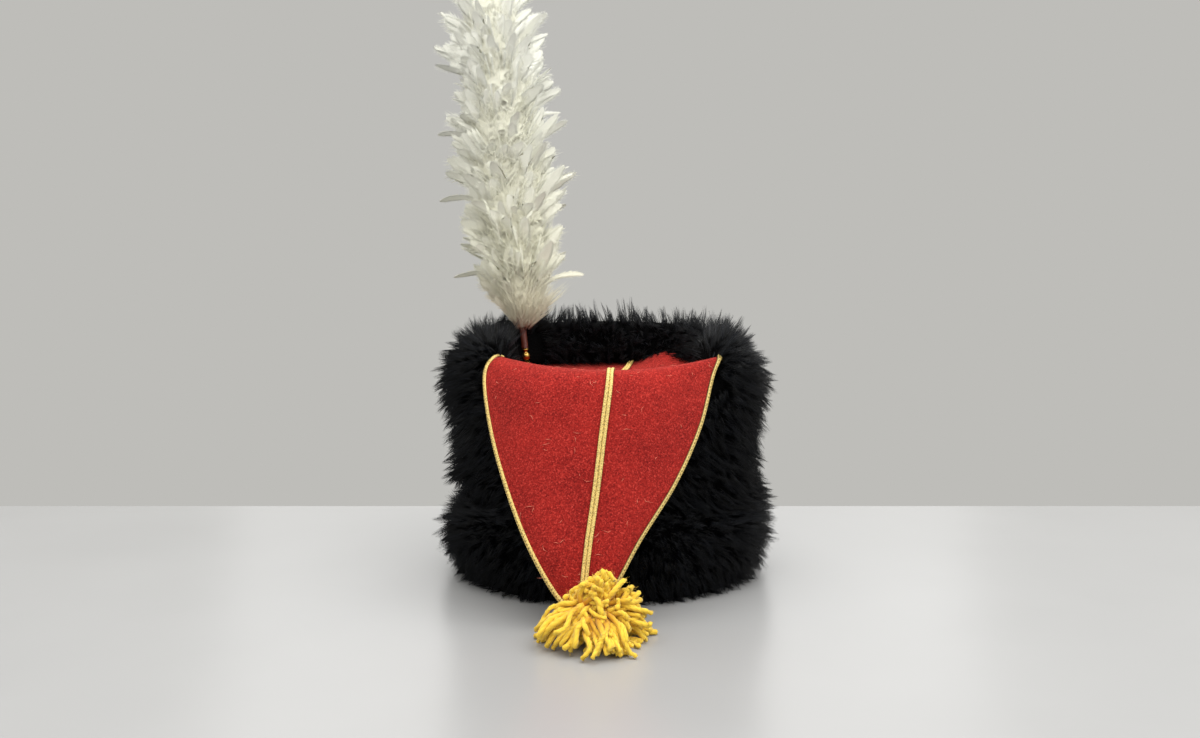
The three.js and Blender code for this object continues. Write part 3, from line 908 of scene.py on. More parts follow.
@dataclass
class FurCap:
    """An oval of hide with two bands of long fur, sewn one above the other, and a roll of fur round the top.

    The fur's rows give its outline from the floor up the outside and over the top: its height, its depth
    outside the hide at either end, and its height and depth where the bag presses it down. Its roll at the
    back rises and leans inwards over the given rows, and leans less at the bag's hump. Hair leans less above
    the seam of the bands, and back over the roll. Each wave gives a swing and its cycles round the cap and
    along the rows. Spreads are those of whole tufts and of their single hairs.
    """

    axis: Array
    half_length: float = 103.0
    half_width: float = 87.0
    wall: float = 3.0
    height: float = 165.0
    around: int = 160
    steps: int = 70
    samples: int = 200
    back_rise: float = 8.0
    back_lean: float = 24.0
    rise_rows: Hill = (10, 11, 12, 13)
    lean_rows: Hill = (10, 12, 13, 14)
    pressed: float = math.radians(40)
    free: float = math.radians(54)
    hump_angle: float = math.radians(43)
    hump_width: float = 0.26
    hump_clear: float = 0.8
    under_gap: float = 0.3
    under_share: float = 0.7
    roll_share: float = 0.86
    roll_rows: Range = (9.5, 11.0)
    root_share: float = 0.4
    bend_share: float = 0.72
    hairs: int = 11
    spread: float = 2.1
    stray: float = 3.5
    mean_depth: float = 15.0
    least_row: float = 4.0
    hair_rows: Range = (0.05, 13.6)
    bag_row: float = 8.6
    hair_radius: float = 0.26
    hair_lean: float = 50.0
    lean_spreads: Range = (13.0, 7.0)
    seam_share: float = 0.7
    seam_rows: Hill = (2.4, 3.2, 4.1, 4.5)
    over_share: float = 1.8
    over_rows: Range = (9.3, 12.0)
    near_swing: float = 0.5
    waves: tuple[Point, ...] = ((0.3, 3.0, 0.9), (0.25, 8.0, -1.7))
    swing_spreads: Range = (0.25, 0.12)
    hair_past: float = 9.5
    past_spreads: Range = (3.6, 1.8)
    past_limits: Range = (0.5, 18.0)
    long_share: float = 0.2
    long_past: float = 5.5
    gathers: Range = (0.6, 0.97)
    tuft_highlight: float = 0.4
    rows: Table = field(
        default_factory=lambda: Table(
            "z left right under_z under",
            (0, 14, 16, 0, 17),
            (11, 18, 21, 11, 21),
            (28, 27, 28, 28, 24),
            (48, 21, 26, 48, 20),
            (65, 6, 22, 66, 14),
            (81, 20, 21, 82, 15),
            (104, 17, 19, 101, 16),
            (128, 22, 23, 121, 18),
            (151, 28, 27, 139, 19),
            (172, 22, 20, 153, 16),
            (188, 10, 8, 159, 12),
            (196, -7, -6, 160.5, 8),
            (189, -22, -17, 160.5, 5),
            (165, -27, -21, 160, 3),
            (169.5, 1.2, 1.2, 159.5, 1.2),
        )
    )
    bands: tuple[Band, ...] = (
        Band("fur_lower", 0.1, 4.2, 2250),
        Band("fur_upper", 4.1, 9.3, 2500),
        Band("fur_top", 9.2, 13.5, 2000),
    )

    def hide(self, angle: Array, depth: Array | float, z: Array | float) -> Array:
        """Points outside the oval of hide, (a cos, b sin) + depth times the way square to it.

        Args:
            angle: The oval's parameter.
            depth: How far outside the hide.
            z: The height.

        Returns:
            Points of the three's common shape.
        """
        angle, depth, z = np.broadcast_arrays(angle, depth, z)
        cos, sin = np.cos(angle), np.sin(angle)
        out = unit(np.stack([cos / self.half_length, sin / self.half_width], -1))
        oval = np.stack([self.half_length * cos, self.half_width * sin], -1)
        return np.concatenate([oval + depth[..., None] * out + self.axis, z[..., None]], -1)

    def press(self, angle: Array) -> Array:
        """How far the bag presses the fur down: 1 under its middle, 0 where the fur is free."""
        turn = np.arccos(np.clip(-np.sin(angle), -1, 1))
        return 1 - smoothstep(turn, self.pressed, self.free)

    def back(self, angle: Array, row: Array, rows: Hill) -> Array:
        """Share of a back feature: it grows and fades over its rows, and from the ends to the back."""
        return np.maximum(0, np.sin(angle)) * hill(row, *rows)

    def surface(self, angle: Array, row: Array, share: Array | float) -> Array:
        """Points of the fur between the hide and its outline.

        Args:
            angle: The turn about the cap's axis.
            row: The place along the outline, in rows of the table.
            share: 0 on the hide's wall or top edge, 1 on the outline.

        Returns:
            Points.
        """
        press = self.press(angle)
        hump = np.exp(-(((angle - self.hump_angle) / self.hump_width) ** 2))
        lean = self.back_lean * self.back(angle, row, self.lean_rows) * (1 - self.hump_clear * hump)
        rise = self.back_rise * self.back(angle, row, self.rise_rows)
        depth = lerp(self.rows.round_at(angle, row) - lean, self.rows.at("under", row), press)
        z = lerp(self.rows.at("z", row) + rise, self.rows.at("under_z", row), press)
        foot = np.minimum(z, self.height)
        return self.hide(angle, lerp(-self.wall / 2, depth, share), lerp(foot, z, share))

    def row_at(self, band: Band, share: Array) -> tuple[Array, Array]:
        """Finds rows that are spread evenly along a band's outline.

        Args:
            band: The stretch of fur.
            share: Places along it, from 0 to 1.

        Returns:
            The rows, and the millimetres that one row takes there.
        """
        fine = np.linspace(band.first, band.last, self.samples)
        length = lengths(self.surface(np.full(self.samples, math.pi), fine, 1.0))
        row = np.interp(share * length[-1], length, fine)
        return row, np.maximum(np.interp(row, fine, np.gradient(length, fine)), self.least_row)

    def leans(self, row: Array) -> Array:
        """How far hair falls below straight out: less above the seam, and back over the roll's top."""
        less = self.seam_share * hill(row, *self.seam_rows)
        return self.hair_lean * (1 - less - self.over_share * smoothstep(row, *self.over_rows))

    def swings(self, angle: Array, row: Array) -> Array:
        """How far hair lies round the cap: away from the bag at the near side, with slow sine waves.

        Args:
            angle: The turn about the cap's axis.
            row: The place along the outline.

        Returns:
            Swings as shares of the way straight out.
        """
        near = np.sqrt(np.maximum(0, -np.sin(angle))) * np.cos(angle)
        waves = sum(size * np.sin(turning * angle + along * row) for size, turning, along in self.waves)
        return self.near_swing * near + waves

    def vary(self, which: Array, spreads: Range, rng: np.random.Generator) -> Array:
        """Normal differences of whole tufts, plus those of their single hairs."""
        tuft, single = spreads
        return rng.normal(0, tuft, which[-1] + 1)[which] + rng.normal(0, single, len(which))

    def hair(self, band: Band, rng: np.random.Generator) -> tuple[Array, Array]:
        """Works out the hairs of a band: square to the outline, then falling to their lean.

        Tufts are spread nearly evenly, and the tips of a tuft's hairs draw together. Powers of the draws
        keep most tones low, so that few hairs get much of the painted highlight at their tips.

        Args:
            band: The stretch of fur.
            rng: The seeded source of its small differences.

        Returns:
            The roots, the middles and the tips of the hairs that the bag leaves free, and their tones.
        """
        number = np.arange(band.tufts)
        which = np.repeat(number, self.hairs)
        total = len(which)
        around, along = ((0.5 + number * step) % 1 for step in EVEN_STEPS)
        row, row_size = self.row_at(band, along)
        stray_round, stray_up = rng.normal(0, self.stray, (2, band.tufts))
        row = row + stray_up / row_size
        outside = self.half_length + self.mean_depth
        angle = 2 * math.pi * around + stray_round / outside
        angle = angle[which] + rng.normal(0, self.spread, total) / outside
        row = row[which] + rng.normal(0, self.spread, total) / row_size[which]
        row = np.clip(row, *self.hair_rows)
        root = self.surface(angle, row, self.root_share)
        edge = self.surface(angle, row, 1.0)
        after, before = (self.surface(angle + step, row, 1.0) for step in (NEAR_STEP, -NEAR_STEP))
        round_it = unit(after - before)
        after, before = (self.surface(angle, row + step, 1.0) for step in (NEAR_STEP, -NEAR_STEP))
        climb = unit(after - before)
        out = unit(np.cross(round_it, climb))
        lean = np.radians(self.leans(row) + self.vary(which, self.lean_spreads, rng))[:, None]
        swing = (self.swings(angle, row) + self.vary(which, self.swing_spreads, rng))[:, None]
        past = self.hair_past + self.vary(which, self.past_spreads, rng)
        long_ones = rng.uniform(size=total) < self.long_share
        past = past + np.where(long_ones, rng.exponential(self.long_past, total), 0)
        lay = unit(np.cos(lean) * out - np.sin(lean) * climb + swing * round_it)
        tip = edge + np.clip(past, *self.past_limits)[:, None] * lay
        tuft_tip = tip.reshape(band.tufts, self.hairs, 3).mean(1)[which]
        tip = lerp(tip, tuft_tip, rng.uniform(*self.gathers, band.tufts)[which][:, None])
        middle = lerp(root, edge, self.bend_share)
        # Each hair's tone sets its painted tip highlight: partly its tuft's, partly its own.
        tone = self.tuft_highlight * rng.uniform(0, 1, band.tufts)[which] ** 3 + rng.uniform(0, 1, total) ** 4
        free = (self.press(angle) < 0.5) | (row < self.bag_row)
        return np.stack([root, middle, tip])[:, free], np.clip(tone, 0, 1)[free]

    def build(self, bag: Bag, plume: Plume) -> list[bpy.types.Object]:
        """Makes the hide, the under-fur and the bands of hair.

        Args:
            bag: The cloth that the hair stays clear of.
            plume: The plume whose foot the hair stays clear of.

        Returns:
            The pieces.
        """
        around = np.linspace(0, 2 * math.pi, self.around, endpoint=False)[:, None]
        section = np.array([[0, 0], [0, 1], [-1, 1], [-1, 0]])
        wall = self.hide(around, section[:, 0] * self.wall, section[:, 1] * self.height)
        steps = np.linspace(0, self.rows.last, self.steps)[None]
        share = lerp(self.under_share, self.roll_share, smoothstep(steps, *self.roll_rows))
        outer = self.surface(around, steps, share)
        inner = self.hide(around, self.under_gap, np.array([[self.height, self.height / 2, 0.0]]))
        under = skin(np.concatenate([outer, inner], 1)[None])
        pieces = [
            add_piece("hide", skin(wall[None]), SuedeHide().material()),
            add_piece("under_fur", under, UnderFur().material(), "fur_cap"),
        ]
        finish = DyedFur().material()
        for seed, band in enumerate(self.bands):
            points, tone = self.hair(band, np.random.default_rng(seed))
            points = plume.make_room(bag.keep_clear(points))
            points[..., 2] = np.maximum(points[..., 2], self.hair_radius)
            hair = needles(*points, self.hair_radius, tone)
            pieces.append(add_piece(band.name, hair, finish))
        return pieces


# Bag


@dataclass
class Bag:
    """One sheet of felt from the back of the top, over the near edge and down to its tip, with its braid.

    Its rows give the middle of a section, its two ends, how far its ends lie behind and above its middle,
    and where the middle braid crosses it. The pucker has a place in x and y, a height and a spread, and the
    ripple its waves across the sheet and along the rows. Fur is kept off the top and the fall within their
    reaches, with room counted in thicknesses. Red fibres have a least length, the mean of what comes on top
    and the most of it. Fibre radii are those of pale and of red ones.
    """

    axis: Array
    thickness: float = 2.4
    gap: float = 0.3
    spans: int = 56
    steps: int = 150
    samples: int = 80
    pucker: tuple[float, float, float, float] = (52.0, 41.0, 9.8, 21.0)
    ripple: float = 0.8
    ripple_waves: Range = (6.5, 1.1)
    billow: float = 3.0
    billow_width: float = 1.1
    fall_rows: Hill = (7.2, 8.6, 11.2, 12.6)
    crest_row: float = 7.0
    top_row: float = 5.6
    top_reach: Range = (-45.0, 80.0)
    top_from: float = 120.0
    fall_reach: Range = (12.0, 172.0)
    fall_margin: float = 1.04
    fur_room: float = 1.3
    yarn_margin: float = 1.3
    yarn_from: float = 8.0
    seed: int = 11
    fibre_count: int = 2600
    fibre_margin: float = 0.97
    fibre_rows: Range = (2.0, 12.6)
    red_lengths: Point = (1.2, 1.5, 5.0)
    pale_lengths: Range = (3.0, 9.0)
    fibre_radii: Range = (0.18, 0.08)
    fibre_root: float = 0.1
    fibre_bows: Range = (0.2, 0.6)
    fibre_curl: float = 0.3
    fibre_lift: float = 0.3
    rows: Table = field(
        default_factory=lambda: Table(
            "y z left right back rise braid",
            (85, 166.7, -19, 19, -1.2, 0, 14),
            (74, 165.3, -50.5, 50.5, 0, 1.4, 28.5),
            (52, 162.5, -80, 80, 0, 4.2, 24.5),
            (24, 160, -97, 97, 0, 6.7, 19),
            (-8, 159.5, -100.8, 100.8, 0, 7.2, 13.5),
            (-40, 162, -86, 89.3, 0, 4.7, 9),
            (-78, 167, -76, 87, 29, 6.5, 5.8),
            (-102, 171.5, -83, 86, 36, 7, 3.6),
            (-116, 161, -89, 79, 37, 5, 2.2),
            (-127, 131.5, -83, 68, 27, 0, -1.8),
            (-138, 95, -71, 49, 16, 0, -6.5),
            (-150, 58.5, -55, 23, 7, 0, -12),
            (-159, 27, -36, 4, 2, 0, -15.5),
            (-163.5, 11, -20, -12, 0, 0, -16),
        )
    )

    def point(self, across: Array, row: Array) -> Array:
        """Points of the sheet's middle: x from end to end, y and z bowed by the square of across.

        A pucker lifts z by a bell curve. Sine waves move the fall in y: a billow either side of the middle
        braid, and slow ripples.

        Args:
            across: The place between the ends, from -1 to 1.
            row: The place from the back to the tip, in rows of the table.

        Returns:
            Points of the two's common shape.
        """
        across, row = np.broadcast_arrays(across, row)
        bow = across * across
        x = lerp(self.rows.at("left", row), self.rows.at("right", row), (across + 1) / 2)
        y = self.rows.at("y", row) + self.rows.at("back", row) * bow
        near_x, near_y, height, spread = self.pucker
        far = ((x - near_x) ** 2 + (y - near_y) ** 2) / spread**2
        z = self.rows.at("z", row) + self.rows.at("rise", row) * bow + height * np.exp(-far)
        waves_across, waves_along = self.ripple_waves
        ripple = self.ripple * np.sin(waves_across * across + waves_along * row)
        billow = self.billow * ((1 - np.cos(2 * math.pi * across / self.billow_width)) / 2)
        y = y + hill(row, *self.fall_rows) * (ripple - billow)
        return np.stack([x + self.axis[0], y + self.axis[1], z], -1)

    def frame(self, across: Array, row: Array) -> tuple[Array, Array, Array, Array]:
        """Finds the sheet's directions from the points next to each place.

        Args:
            across: The place between the ends, from -1 to 1.
            row: The place from the back to the tip.

        Returns:
            Points of the sheet, and the ways to the right, to the tip and off its face.
        """
        right, left = np.minimum(across + NEAR_STEP, 1), np.maximum(across - NEAR_STEP, -1)
        after, before = np.minimum(row + NEAR_STEP, self.rows.last), np.maximum(row - NEAR_STEP, 0)
        wide = self.point(right, row) - self.point(left, row)
        ahead = unit(self.point(across, after) - self.point(across, before))
        out = unit(np.cross(ahead, wide))
        return self.point(across, row), np.cross(out, ahead), ahead, out

    def local(self, points: Array) -> tuple[Array, Array, Array]:
        """Coordinates of points from the cap's axis."""
        return points[..., 0] - self.axis[0], points[..., 1] - self.axis[1], points[..., 2]

    def across(self, x: Array, row: Array) -> Array:
        """Where x lies between the sheet's ends, from -1 to 1."""
        left, right = self.rows.at("left", row), self.rows.at("right", row)
        return (2 * x - left - right) / (right - left)

    def fall_at(self, x: Array, z: Array) -> tuple[Array, Array]:
        """Finds the fall at places in x and z.

        Args:
            x: Places from the cap's axis to the right.
            z: Heights.

        Returns:
            Where they lie across the fall, and the fall's middle surface there in y.
        """
        fine = np.linspace(self.crest_row, self.rows.last, self.samples)
        row = np.interp(-z, -self.rows.at("z", fine), fine)
        share = self.across(x, row)
        return share, self.rows.at("y", row) + self.rows.at("back", row) * share**2

    def keep_clear(self, points: Array) -> Array:
        """Moves points of the fur off the cloth: up off the top, and back behind the fall.

        Args:
            points: Points of any shape of array.

        Returns:
            The moved points.
        """
        points = points.copy()
        x, y, z = self.local(points)
        fine = np.linspace(0, self.top_row, self.samples)
        row = np.interp(-y, -self.rows.at("y", fine), fine)
        share = self.across(x, row)
        near, far = self.top_reach
        over = (np.abs(share) < 1) & (y > near) & (y < far) & (z > self.top_from)
        top = self.point(share, row)[..., 2] + self.thickness
        points[..., 2] = np.where(over, np.maximum(z, top), z)
        share, face = self.fall_at(x, z)
        low, high = self.fall_reach
        covered = (np.abs(share) < self.fall_margin) & (z > low) & (z < high) & (y < 0)
        behind = face + self.fur_room * self.thickness + self.ripple
        points[..., 1] = np.where(covered, np.maximum(y, behind), y) + self.axis[1]
        return points

    def stay_before(self, points: Array, room: float) -> Array:
        """Moves points of the pompom forward off the fall.

        Args:
            points: Points of any shape of array.
            room: The least distance from the fall's middle surface.

        Returns:
            The moved points.
        """
        points = points.copy()
        x, y, z = self.local(points)
        share, face = self.fall_at(x, z)
        meets = (np.abs(share) < self.yarn_margin) & (z > self.yarn_from)
        points[..., 1] = np.where(meets, np.minimum(y, face - room), y) + self.axis[1]
        return points

    def felt(self) -> Surface:
        """Makes the sheet: its face from right to left, then its back from left to right, as rings.

        Returns:
            One closed skin.
        """
        across = np.linspace(1, -1, self.spans)[None]
        row = np.linspace(0, self.rows.last, self.steps)[:, None]
        at, _, _, out = self.frame(across, row)
        half = self.thickness / 2
        rings = np.concatenate([at + half * out, (at - half * out)[:, ::-1]], 1)
        middle = self.point(np.zeros(2), np.array([0.0, self.rows.last]))
        return skin(rings[None], (middle[:1], middle[1:]))

    def flat_size(self) -> tuple[float, float, float]:
        """Measures the flat cut by the lengths along the sheet's middle surface.

        Returns:
            Its width and length in metres and its area in square metres.
        """
        across = np.linspace(-1, 1, self.spans)[None]
        row = np.linspace(0, self.rows.last, self.steps)[:, None]
        at = self.point(across, row) * MM
        right, down = np.diff(at, axis=1)[:-1], np.diff(at, axis=0)[:, :-1]
        area = np.linalg.norm(np.cross(right, down), axis=-1).sum()
        width = np.linalg.norm(np.diff(at, axis=1), axis=-1).sum(1).max()
        length = lengths(at[:, self.spans // 2])[-1]
        return float(width), float(length), float(area)

    def fibres(self, rng: np.random.Generator) -> Surface:
        """Makes loose fibres rooted in the face of the felt, lying nearly flat in all directions.

        Args:
            rng: The seeded source of their places and lengths.

        Returns:
            All the fibres as one surface.
        """
        count = self.fibre_count
        across = rng.uniform(-self.fibre_margin, self.fibre_margin, count)
        row = rng.uniform(*self.fibre_rows, count)
        at, side, ahead, out = self.frame(across, row)
        turn = rng.uniform(0, 2 * math.pi, count)[:, None]
        lie = np.cos(turn) * side + np.sin(turn) * ahead
        tone = rng.uniform(0, 1, count)
        pale = tone > FeltFibre.pale_from
        least, mean, most = self.red_lengths
        short = least + np.minimum(rng.exponential(mean, count), most)
        length = np.where(pale, rng.uniform(*self.pale_lengths, count), short)[:, None]
        root = at + out * (self.thickness / 2 - self.fibre_root)
        middle = root + lie * length * 0.5 + out * rng.uniform(*self.fibre_bows, count)[:, None]
        curl = rng.normal(0, self.fibre_curl, count)[:, None]
        tip = root + lie * length + np.cross(out, lie) * length * curl + out * self.fibre_lift
        return needles(root, middle, tip, np.where(pale, *self.fibre_radii), tone)

    def build(self) -> list[bpy.types.Object]:
        """Makes the felt, its loose fibres and its three braids.

        Returns:
            The pieces.
        """
        felt = add_piece("bag_felt", self.felt(), WoolFelt().material(), "bag")
        fuzz = self.fibres(np.random.default_rng(self.seed))
        fibres = add_piece("bag_fibres", fuzz, FeltFibre().material())
        braids = Braids(self).build()
        width, length, area = self.flat_size()
        return [felt, fibres, *braids]


@dataclass(frozen=True)
class Outline:
    """A cord's section: x off the edge and y off the face, with the middles that its threads swell from.

    Slants say how far the threads run on round the section, in pitches, and swells where they show.
    """

    points: Array
    middles: Array
    slants: Array
    swells: Array

    def mirrored(self) -> Outline:
        """Turns the section round for the other edge.

        Returns:
            The mirrored section, still anticlockwise.
        """
        flip = np.array([-1.0, 1.0])
        return Outline(
            (self.points * flip)[::-1], (self.middles * flip)[::-1], self.slants[::-1], self.swells[::-1]
        )


@dataclass
class Braids:
    """Gold braid: a channel of cord folded round each edge of the fall, and two cords down its middle.

    A groove is the place of the dotted shade round the section, and what is shown ends there, as shares of
    the way round. The edge's arc is in degrees.
    """

    bag: Bag
    pitch: float = 1.8
    spacing: float = 0.45
    ridge: float = 0.09
    samples: int = 600
    edge_rows: Range = (6.05, 12.4)
    edge_middle: Range = (-0.7, 0.0)
    edge_radii: Range = (2.0, 2.55)
    edge_arc: float = 140.0
    edge_points: int = 19
    edge_slot: Point = (-2.1, -0.8, 0.3)
    edge_slant: float = 0.3
    edge_groove: float = 0.6
    edge_shown: float = 0.72
    middle_rows: Range = (1.0, 12.4)
    lobe: float = 1.4
    lobe_foot: float = 0.4
    lobe_height: float = 1.25
    lobe_points: int = 25
    back_half: float = 2.5
    back_points: int = 5
    middle_slant: float = 0.4
    middle_groove: float = 0.4
    middle_shown: float = 0.8

    def clear(self) -> float:
        """How far the braid stays from the sheet's middle surface."""
        return self.bag.thickness / 2 + self.bag.gap / 2

    def edge_outline(self) -> Outline:
        """Draws a rounded C open to the cloth: an arc of an oval, and the slot for the cloth.

        Returns:
            The section, anticlockwise.
        """
        turn = np.radians(np.linspace(-self.edge_arc, self.edge_arc, self.edge_points))
        middle = np.array(self.edge_middle)
        outer = middle + np.array(self.edge_radii) * np.stack([np.cos(turn), np.sin(turn)], -1)
        upper = np.stack([self.edge_slot, np.full(len(self.edge_slot), self.clear())], -1)
        slot = np.concatenate([upper, upper[::-1] * [1, -1]])
        points = np.concatenate([outer, slot])
        slants = np.append(turn * self.edge_slant, np.zeros(len(slot)))
        swells = np.repeat([1.0, 0.0], [len(outer), len(slot)])
        return Outline(points, np.tile(middle, (len(points), 1)), slants, swells)

    def middle_outline(self) -> Outline:
        """Draws two round lobes on a flat back: half circles of height over x.

        Returns:
            The section, anticlockwise from the right end of the lobes.
        """
        lobe, base = self.lobe, self.clear()
        x = np.linspace(2 * lobe, -2 * lobe, self.lobe_points)
        swell = np.sqrt(np.clip(1 - ((np.abs(x) - lobe) / lobe) ** 2, 0, 1))
        top = np.stack([x, base + self.lobe_foot + self.lobe_height * swell], -1)
        back_x = np.linspace(-self.back_half, self.back_half, self.back_points)
        points = np.concatenate([top, np.stack([back_x, np.full(self.back_points, base)], -1)])
        middles = np.stack([lobe * np.sign(points[:, 0]), np.full(len(points), base)], -1)
        slants = np.abs(points[:, 0]) * self.middle_slant
        swells = np.repeat([1.0, 0.0], [self.lobe_points, self.back_points])
        return Outline(points, middles, slants, swells)

    def across_of(self, end: float, row: Array) -> Array:
        """The braid's line across the sheet.

        Args:
            end: -1 or 1 for an edge, 0 for the middle.
            row: Places along the sheet.

        Returns:
            Places between the sheet's ends, from -1 to 1.
        """
        if end:
            return np.full_like(row, end)
        return self.bag.across(self.bag.rows.at("braid", row), row)

    def cord(self, end: float, rows: Range, outline: Outline) -> Surface:
        """Carries an outline evenly along the sheet, and swells it by slanting ridges of thread.

        Args:
            end: -1 or 1 for an edge, 0 for the middle.
            rows: The first and the last row.
            outline: The cord's section.

        Returns:
            A closed skin whose map runs along the cord in metres.
        """
        fine = np.linspace(*rows, self.samples)
        length = lengths(self.bag.point(self.across_of(end, fine), fine))
        even = np.arange(0, length[-1], self.spacing)
        row = np.interp(even, length, fine)
        at, side, _, out = self.bag.frame(self.across_of(end, row), row)
        wave = np.sin(2 * math.pi * (even[:, None] / self.pitch + outline.slants))
        swell = 1 + self.ridge * (wave * outline.swells)[..., None]
        grown = outline.middles + (outline.points - outline.middles) * swell
        rings = at[:, None] + grown[..., :1] * side[:, None] + grown[..., 1:] * out[:, None]
        poles = (rings[:1].mean(1), rings[-1:].mean(1))
        return skin(rings[None], poles, span=length[-1] * MM)

    def build(self) -> list[bpy.types.Object]:
        """Makes the three braids. The left one's section runs the other way round.

        Returns:
            The pieces.
        """
        edge = self.edge_outline()
        lines = (
            ("left", -1.0, self.edge_rows, edge.mirrored(), 1 - self.edge_groove, 2 - self.edge_shown),
            ("right", 1.0, self.edge_rows, edge, self.edge_groove, self.edge_shown),
            ("centre", 0.0, self.middle_rows, self.middle_outline(), self.middle_groove, self.middle_shown),
        )
        pieces = []
        for name, end, rows, outline, groove, shown in lines:
            surface = self.cord(end, rows, outline)
            finish = GoldBraid(groove, shown).material()
            pieces.append(add_piece(f"braid_cord_{name}", surface, finish, f"braid_{name}"))
        return pieces


# Pompom


@dataclass
class Pompom:
    """Cut ends of plied yarn that spread from a tied middle and droop on to the surface.

    The half sizes, the rise and the fall say how far strands of length 1 reach from the centre. The first
    bundles point up, and the tall ones among them are never short.
    """

    axis: Array
    centre: Point = (-8.5, -180.0, 19.5)
    half_width: float = 44.0
    half_depth: float = 45.0
    rise: float = 32.5
    fall: float = 19.0
    droop: float = 15.0
    droop_below: float = 0.55
    core: float = 0.3
    core_spread: float = 0.7
    core_shift: float = 0.1
    bundles: int = 54
    strands: int = 8
    tall: int = 5
    short_share: float = 0.5
    short_lengths: Range = (0.45, 0.75)
    long_lengths: Range = (0.8, 1.16)
    strand_lengths: Range = (0.8, 1.02)
    spread: float = 0.16
    turn_spread: float = 0.2
    tip_spread: float = 1.6
    slump: float = 0.15
    peak: float = 2.4
    peak_right: float = 7.0
    flat: float = 0.5
    flat_from: float = 0.4
    bend_share: float = 0.6
    bend_rise: float = 5.0
    bundle_sway: float = 8.0
    strand_sway: float = 2.4
    wiggle: float = 3.0
    wiggle_cycles: float = 1.5
    yarn: float = 1.9
    floor_room: float = 1.15
    bag_room: float = 1.2
    rings: int = 12
    sides: int = 7
    twists: float = 2.5
    ply_depth: float = 0.06
    swells: Range = (0.82, 1.12)
    blunt: float = 0.4
    fluff_each: int = 6
    fluff_from: int = 4
    fluff_off: float = 0.6
    fluff_spread: float = 0.5
    fluff_lengths: Range = (0.8, 3.0)
    fluff_radius: float = 0.1
    seed: int = 23

    def paths(self, bag: Bag, rng: np.random.Generator) -> Array:
        """Curves from about the middle outwards, in bundles that point evenly in all directions.

        They droop more the flatter they lie and the longer they are, and a growing sine wave makes each
        wander. Powers of the way up and of the way sideways make the heap slump and its top peak.

        Args:
            bag: The bag that the strands stay before.
            rng: The seeded source of their small differences.

        Returns:
            Points as [strand, step, axis].
        """
        number = np.arange(self.bundles)
        height = 1 - 2 * (number + 0.5) / self.bundles
        level = np.sqrt(1 - height**2)
        turn = number * GOLDEN_ANGLE + rng.normal(0, self.turn_spread, self.bundles)
        way = np.stack([level * np.cos(turn), level * np.sin(turn), height], -1)
        which = np.repeat(number, self.strands)
        count = len(which)
        way = way[which] + rng.normal(0, self.spread, (count, 3))
        way[:, 1] *= 1 - self.flat * smoothstep(way[:, 2], 0.0, self.flat_from)
        way = unit(way)
        level = np.sqrt(1 - way[:, 2] ** 2)
        rising = way[:, 2] > 0
        way[:, 2] *= np.abs(way[:, 2]) ** self.slump
        way[:, :2] *= np.where(rising, level**self.peak, 1.0)[:, None]
        height = way[:, 2]
        size = np.tile([self.half_width, self.half_depth, self.rise], (count, 1))
        size[~rising, 2] = self.fall
        short = (rng.uniform(0, 1, self.bundles) < self.short_share) & (number > self.tall)
        shorter = rng.uniform(*self.short_lengths, self.bundles)
        length = np.where(short, shorter, rng.uniform(*self.long_lengths, self.bundles))
        length = length[which] * rng.uniform(*self.strand_lengths, count)
        reach = way * size * length[:, None]
        reach[:, 0] += self.peak_right * np.maximum(height, 0)
        centre = np.array(self.centre) + [*self.axis, 0.0]
        start = size * self.core * rng.uniform(-self.core_spread, self.core_spread, (count, 3))
        start = centre + start + self.core_shift * reach
        sway = rng.normal(0, self.bundle_sway, (self.bundles, 3))[which]
        sway = sway + rng.normal(0, self.strand_sway, (count, 3))
        droop = self.droop * level * (1 - smoothstep(height, 0.0, self.droop_below)) * length
        tip = centre + reach - UP * droop[:, None] + rng.normal(0, self.tip_spread, (count, 3))
        steps = np.linspace(0, 1, self.rings + 2)
        points = bezier(start, centre + self.bend_share * reach + UP * self.bend_rise + sway, tip, steps)
        cycles = self.wiggle_cycles * steps + rng.uniform(0, 1, count)[:, None]
        waves = np.sin(2 * math.pi * cycles) * steps
        points += self.wiggle * waves[..., None] * unit(rng.normal(size=(count, 1, 3)))
        points[..., 2] = np.maximum(points[..., 2], self.floor_room * self.yarn)
        return bag.stay_before(points, bag.thickness / 2 + self.bag_room * self.yarn)

    def strand_skin(self, paths: Array, rng: np.random.Generator) -> Surface:
        """Makes strands whose section has a lobe for each ply, turning along the strand, with blunt ends.

        Args:
            paths: Points as [strand, step, axis].
            rng: The seeded source of their small differences.

        Returns:
            All the strands as one surface.
        """
        side = unit(rng.normal(size=(len(paths), 3)))
        turn = turns(self.sides)
        twist = 2 * math.pi * self.twists * np.linspace(0, 1, self.rings)[:, None]
        lobes = 1 - self.ply_depth / 2 + self.ply_depth * np.cos(WoolYarn.plies * turn)
        radius = rng.uniform(*self.swells, len(paths))[:, None, None] * (self.yarn * lobes)
        rings = ringed(paths, side, radius * np.cos(turn + twist), radius * np.sin(turn + twist))
        return skin(rings, (paths[:, 0], lerp(paths[:, -2], paths[:, -1], self.blunt)))

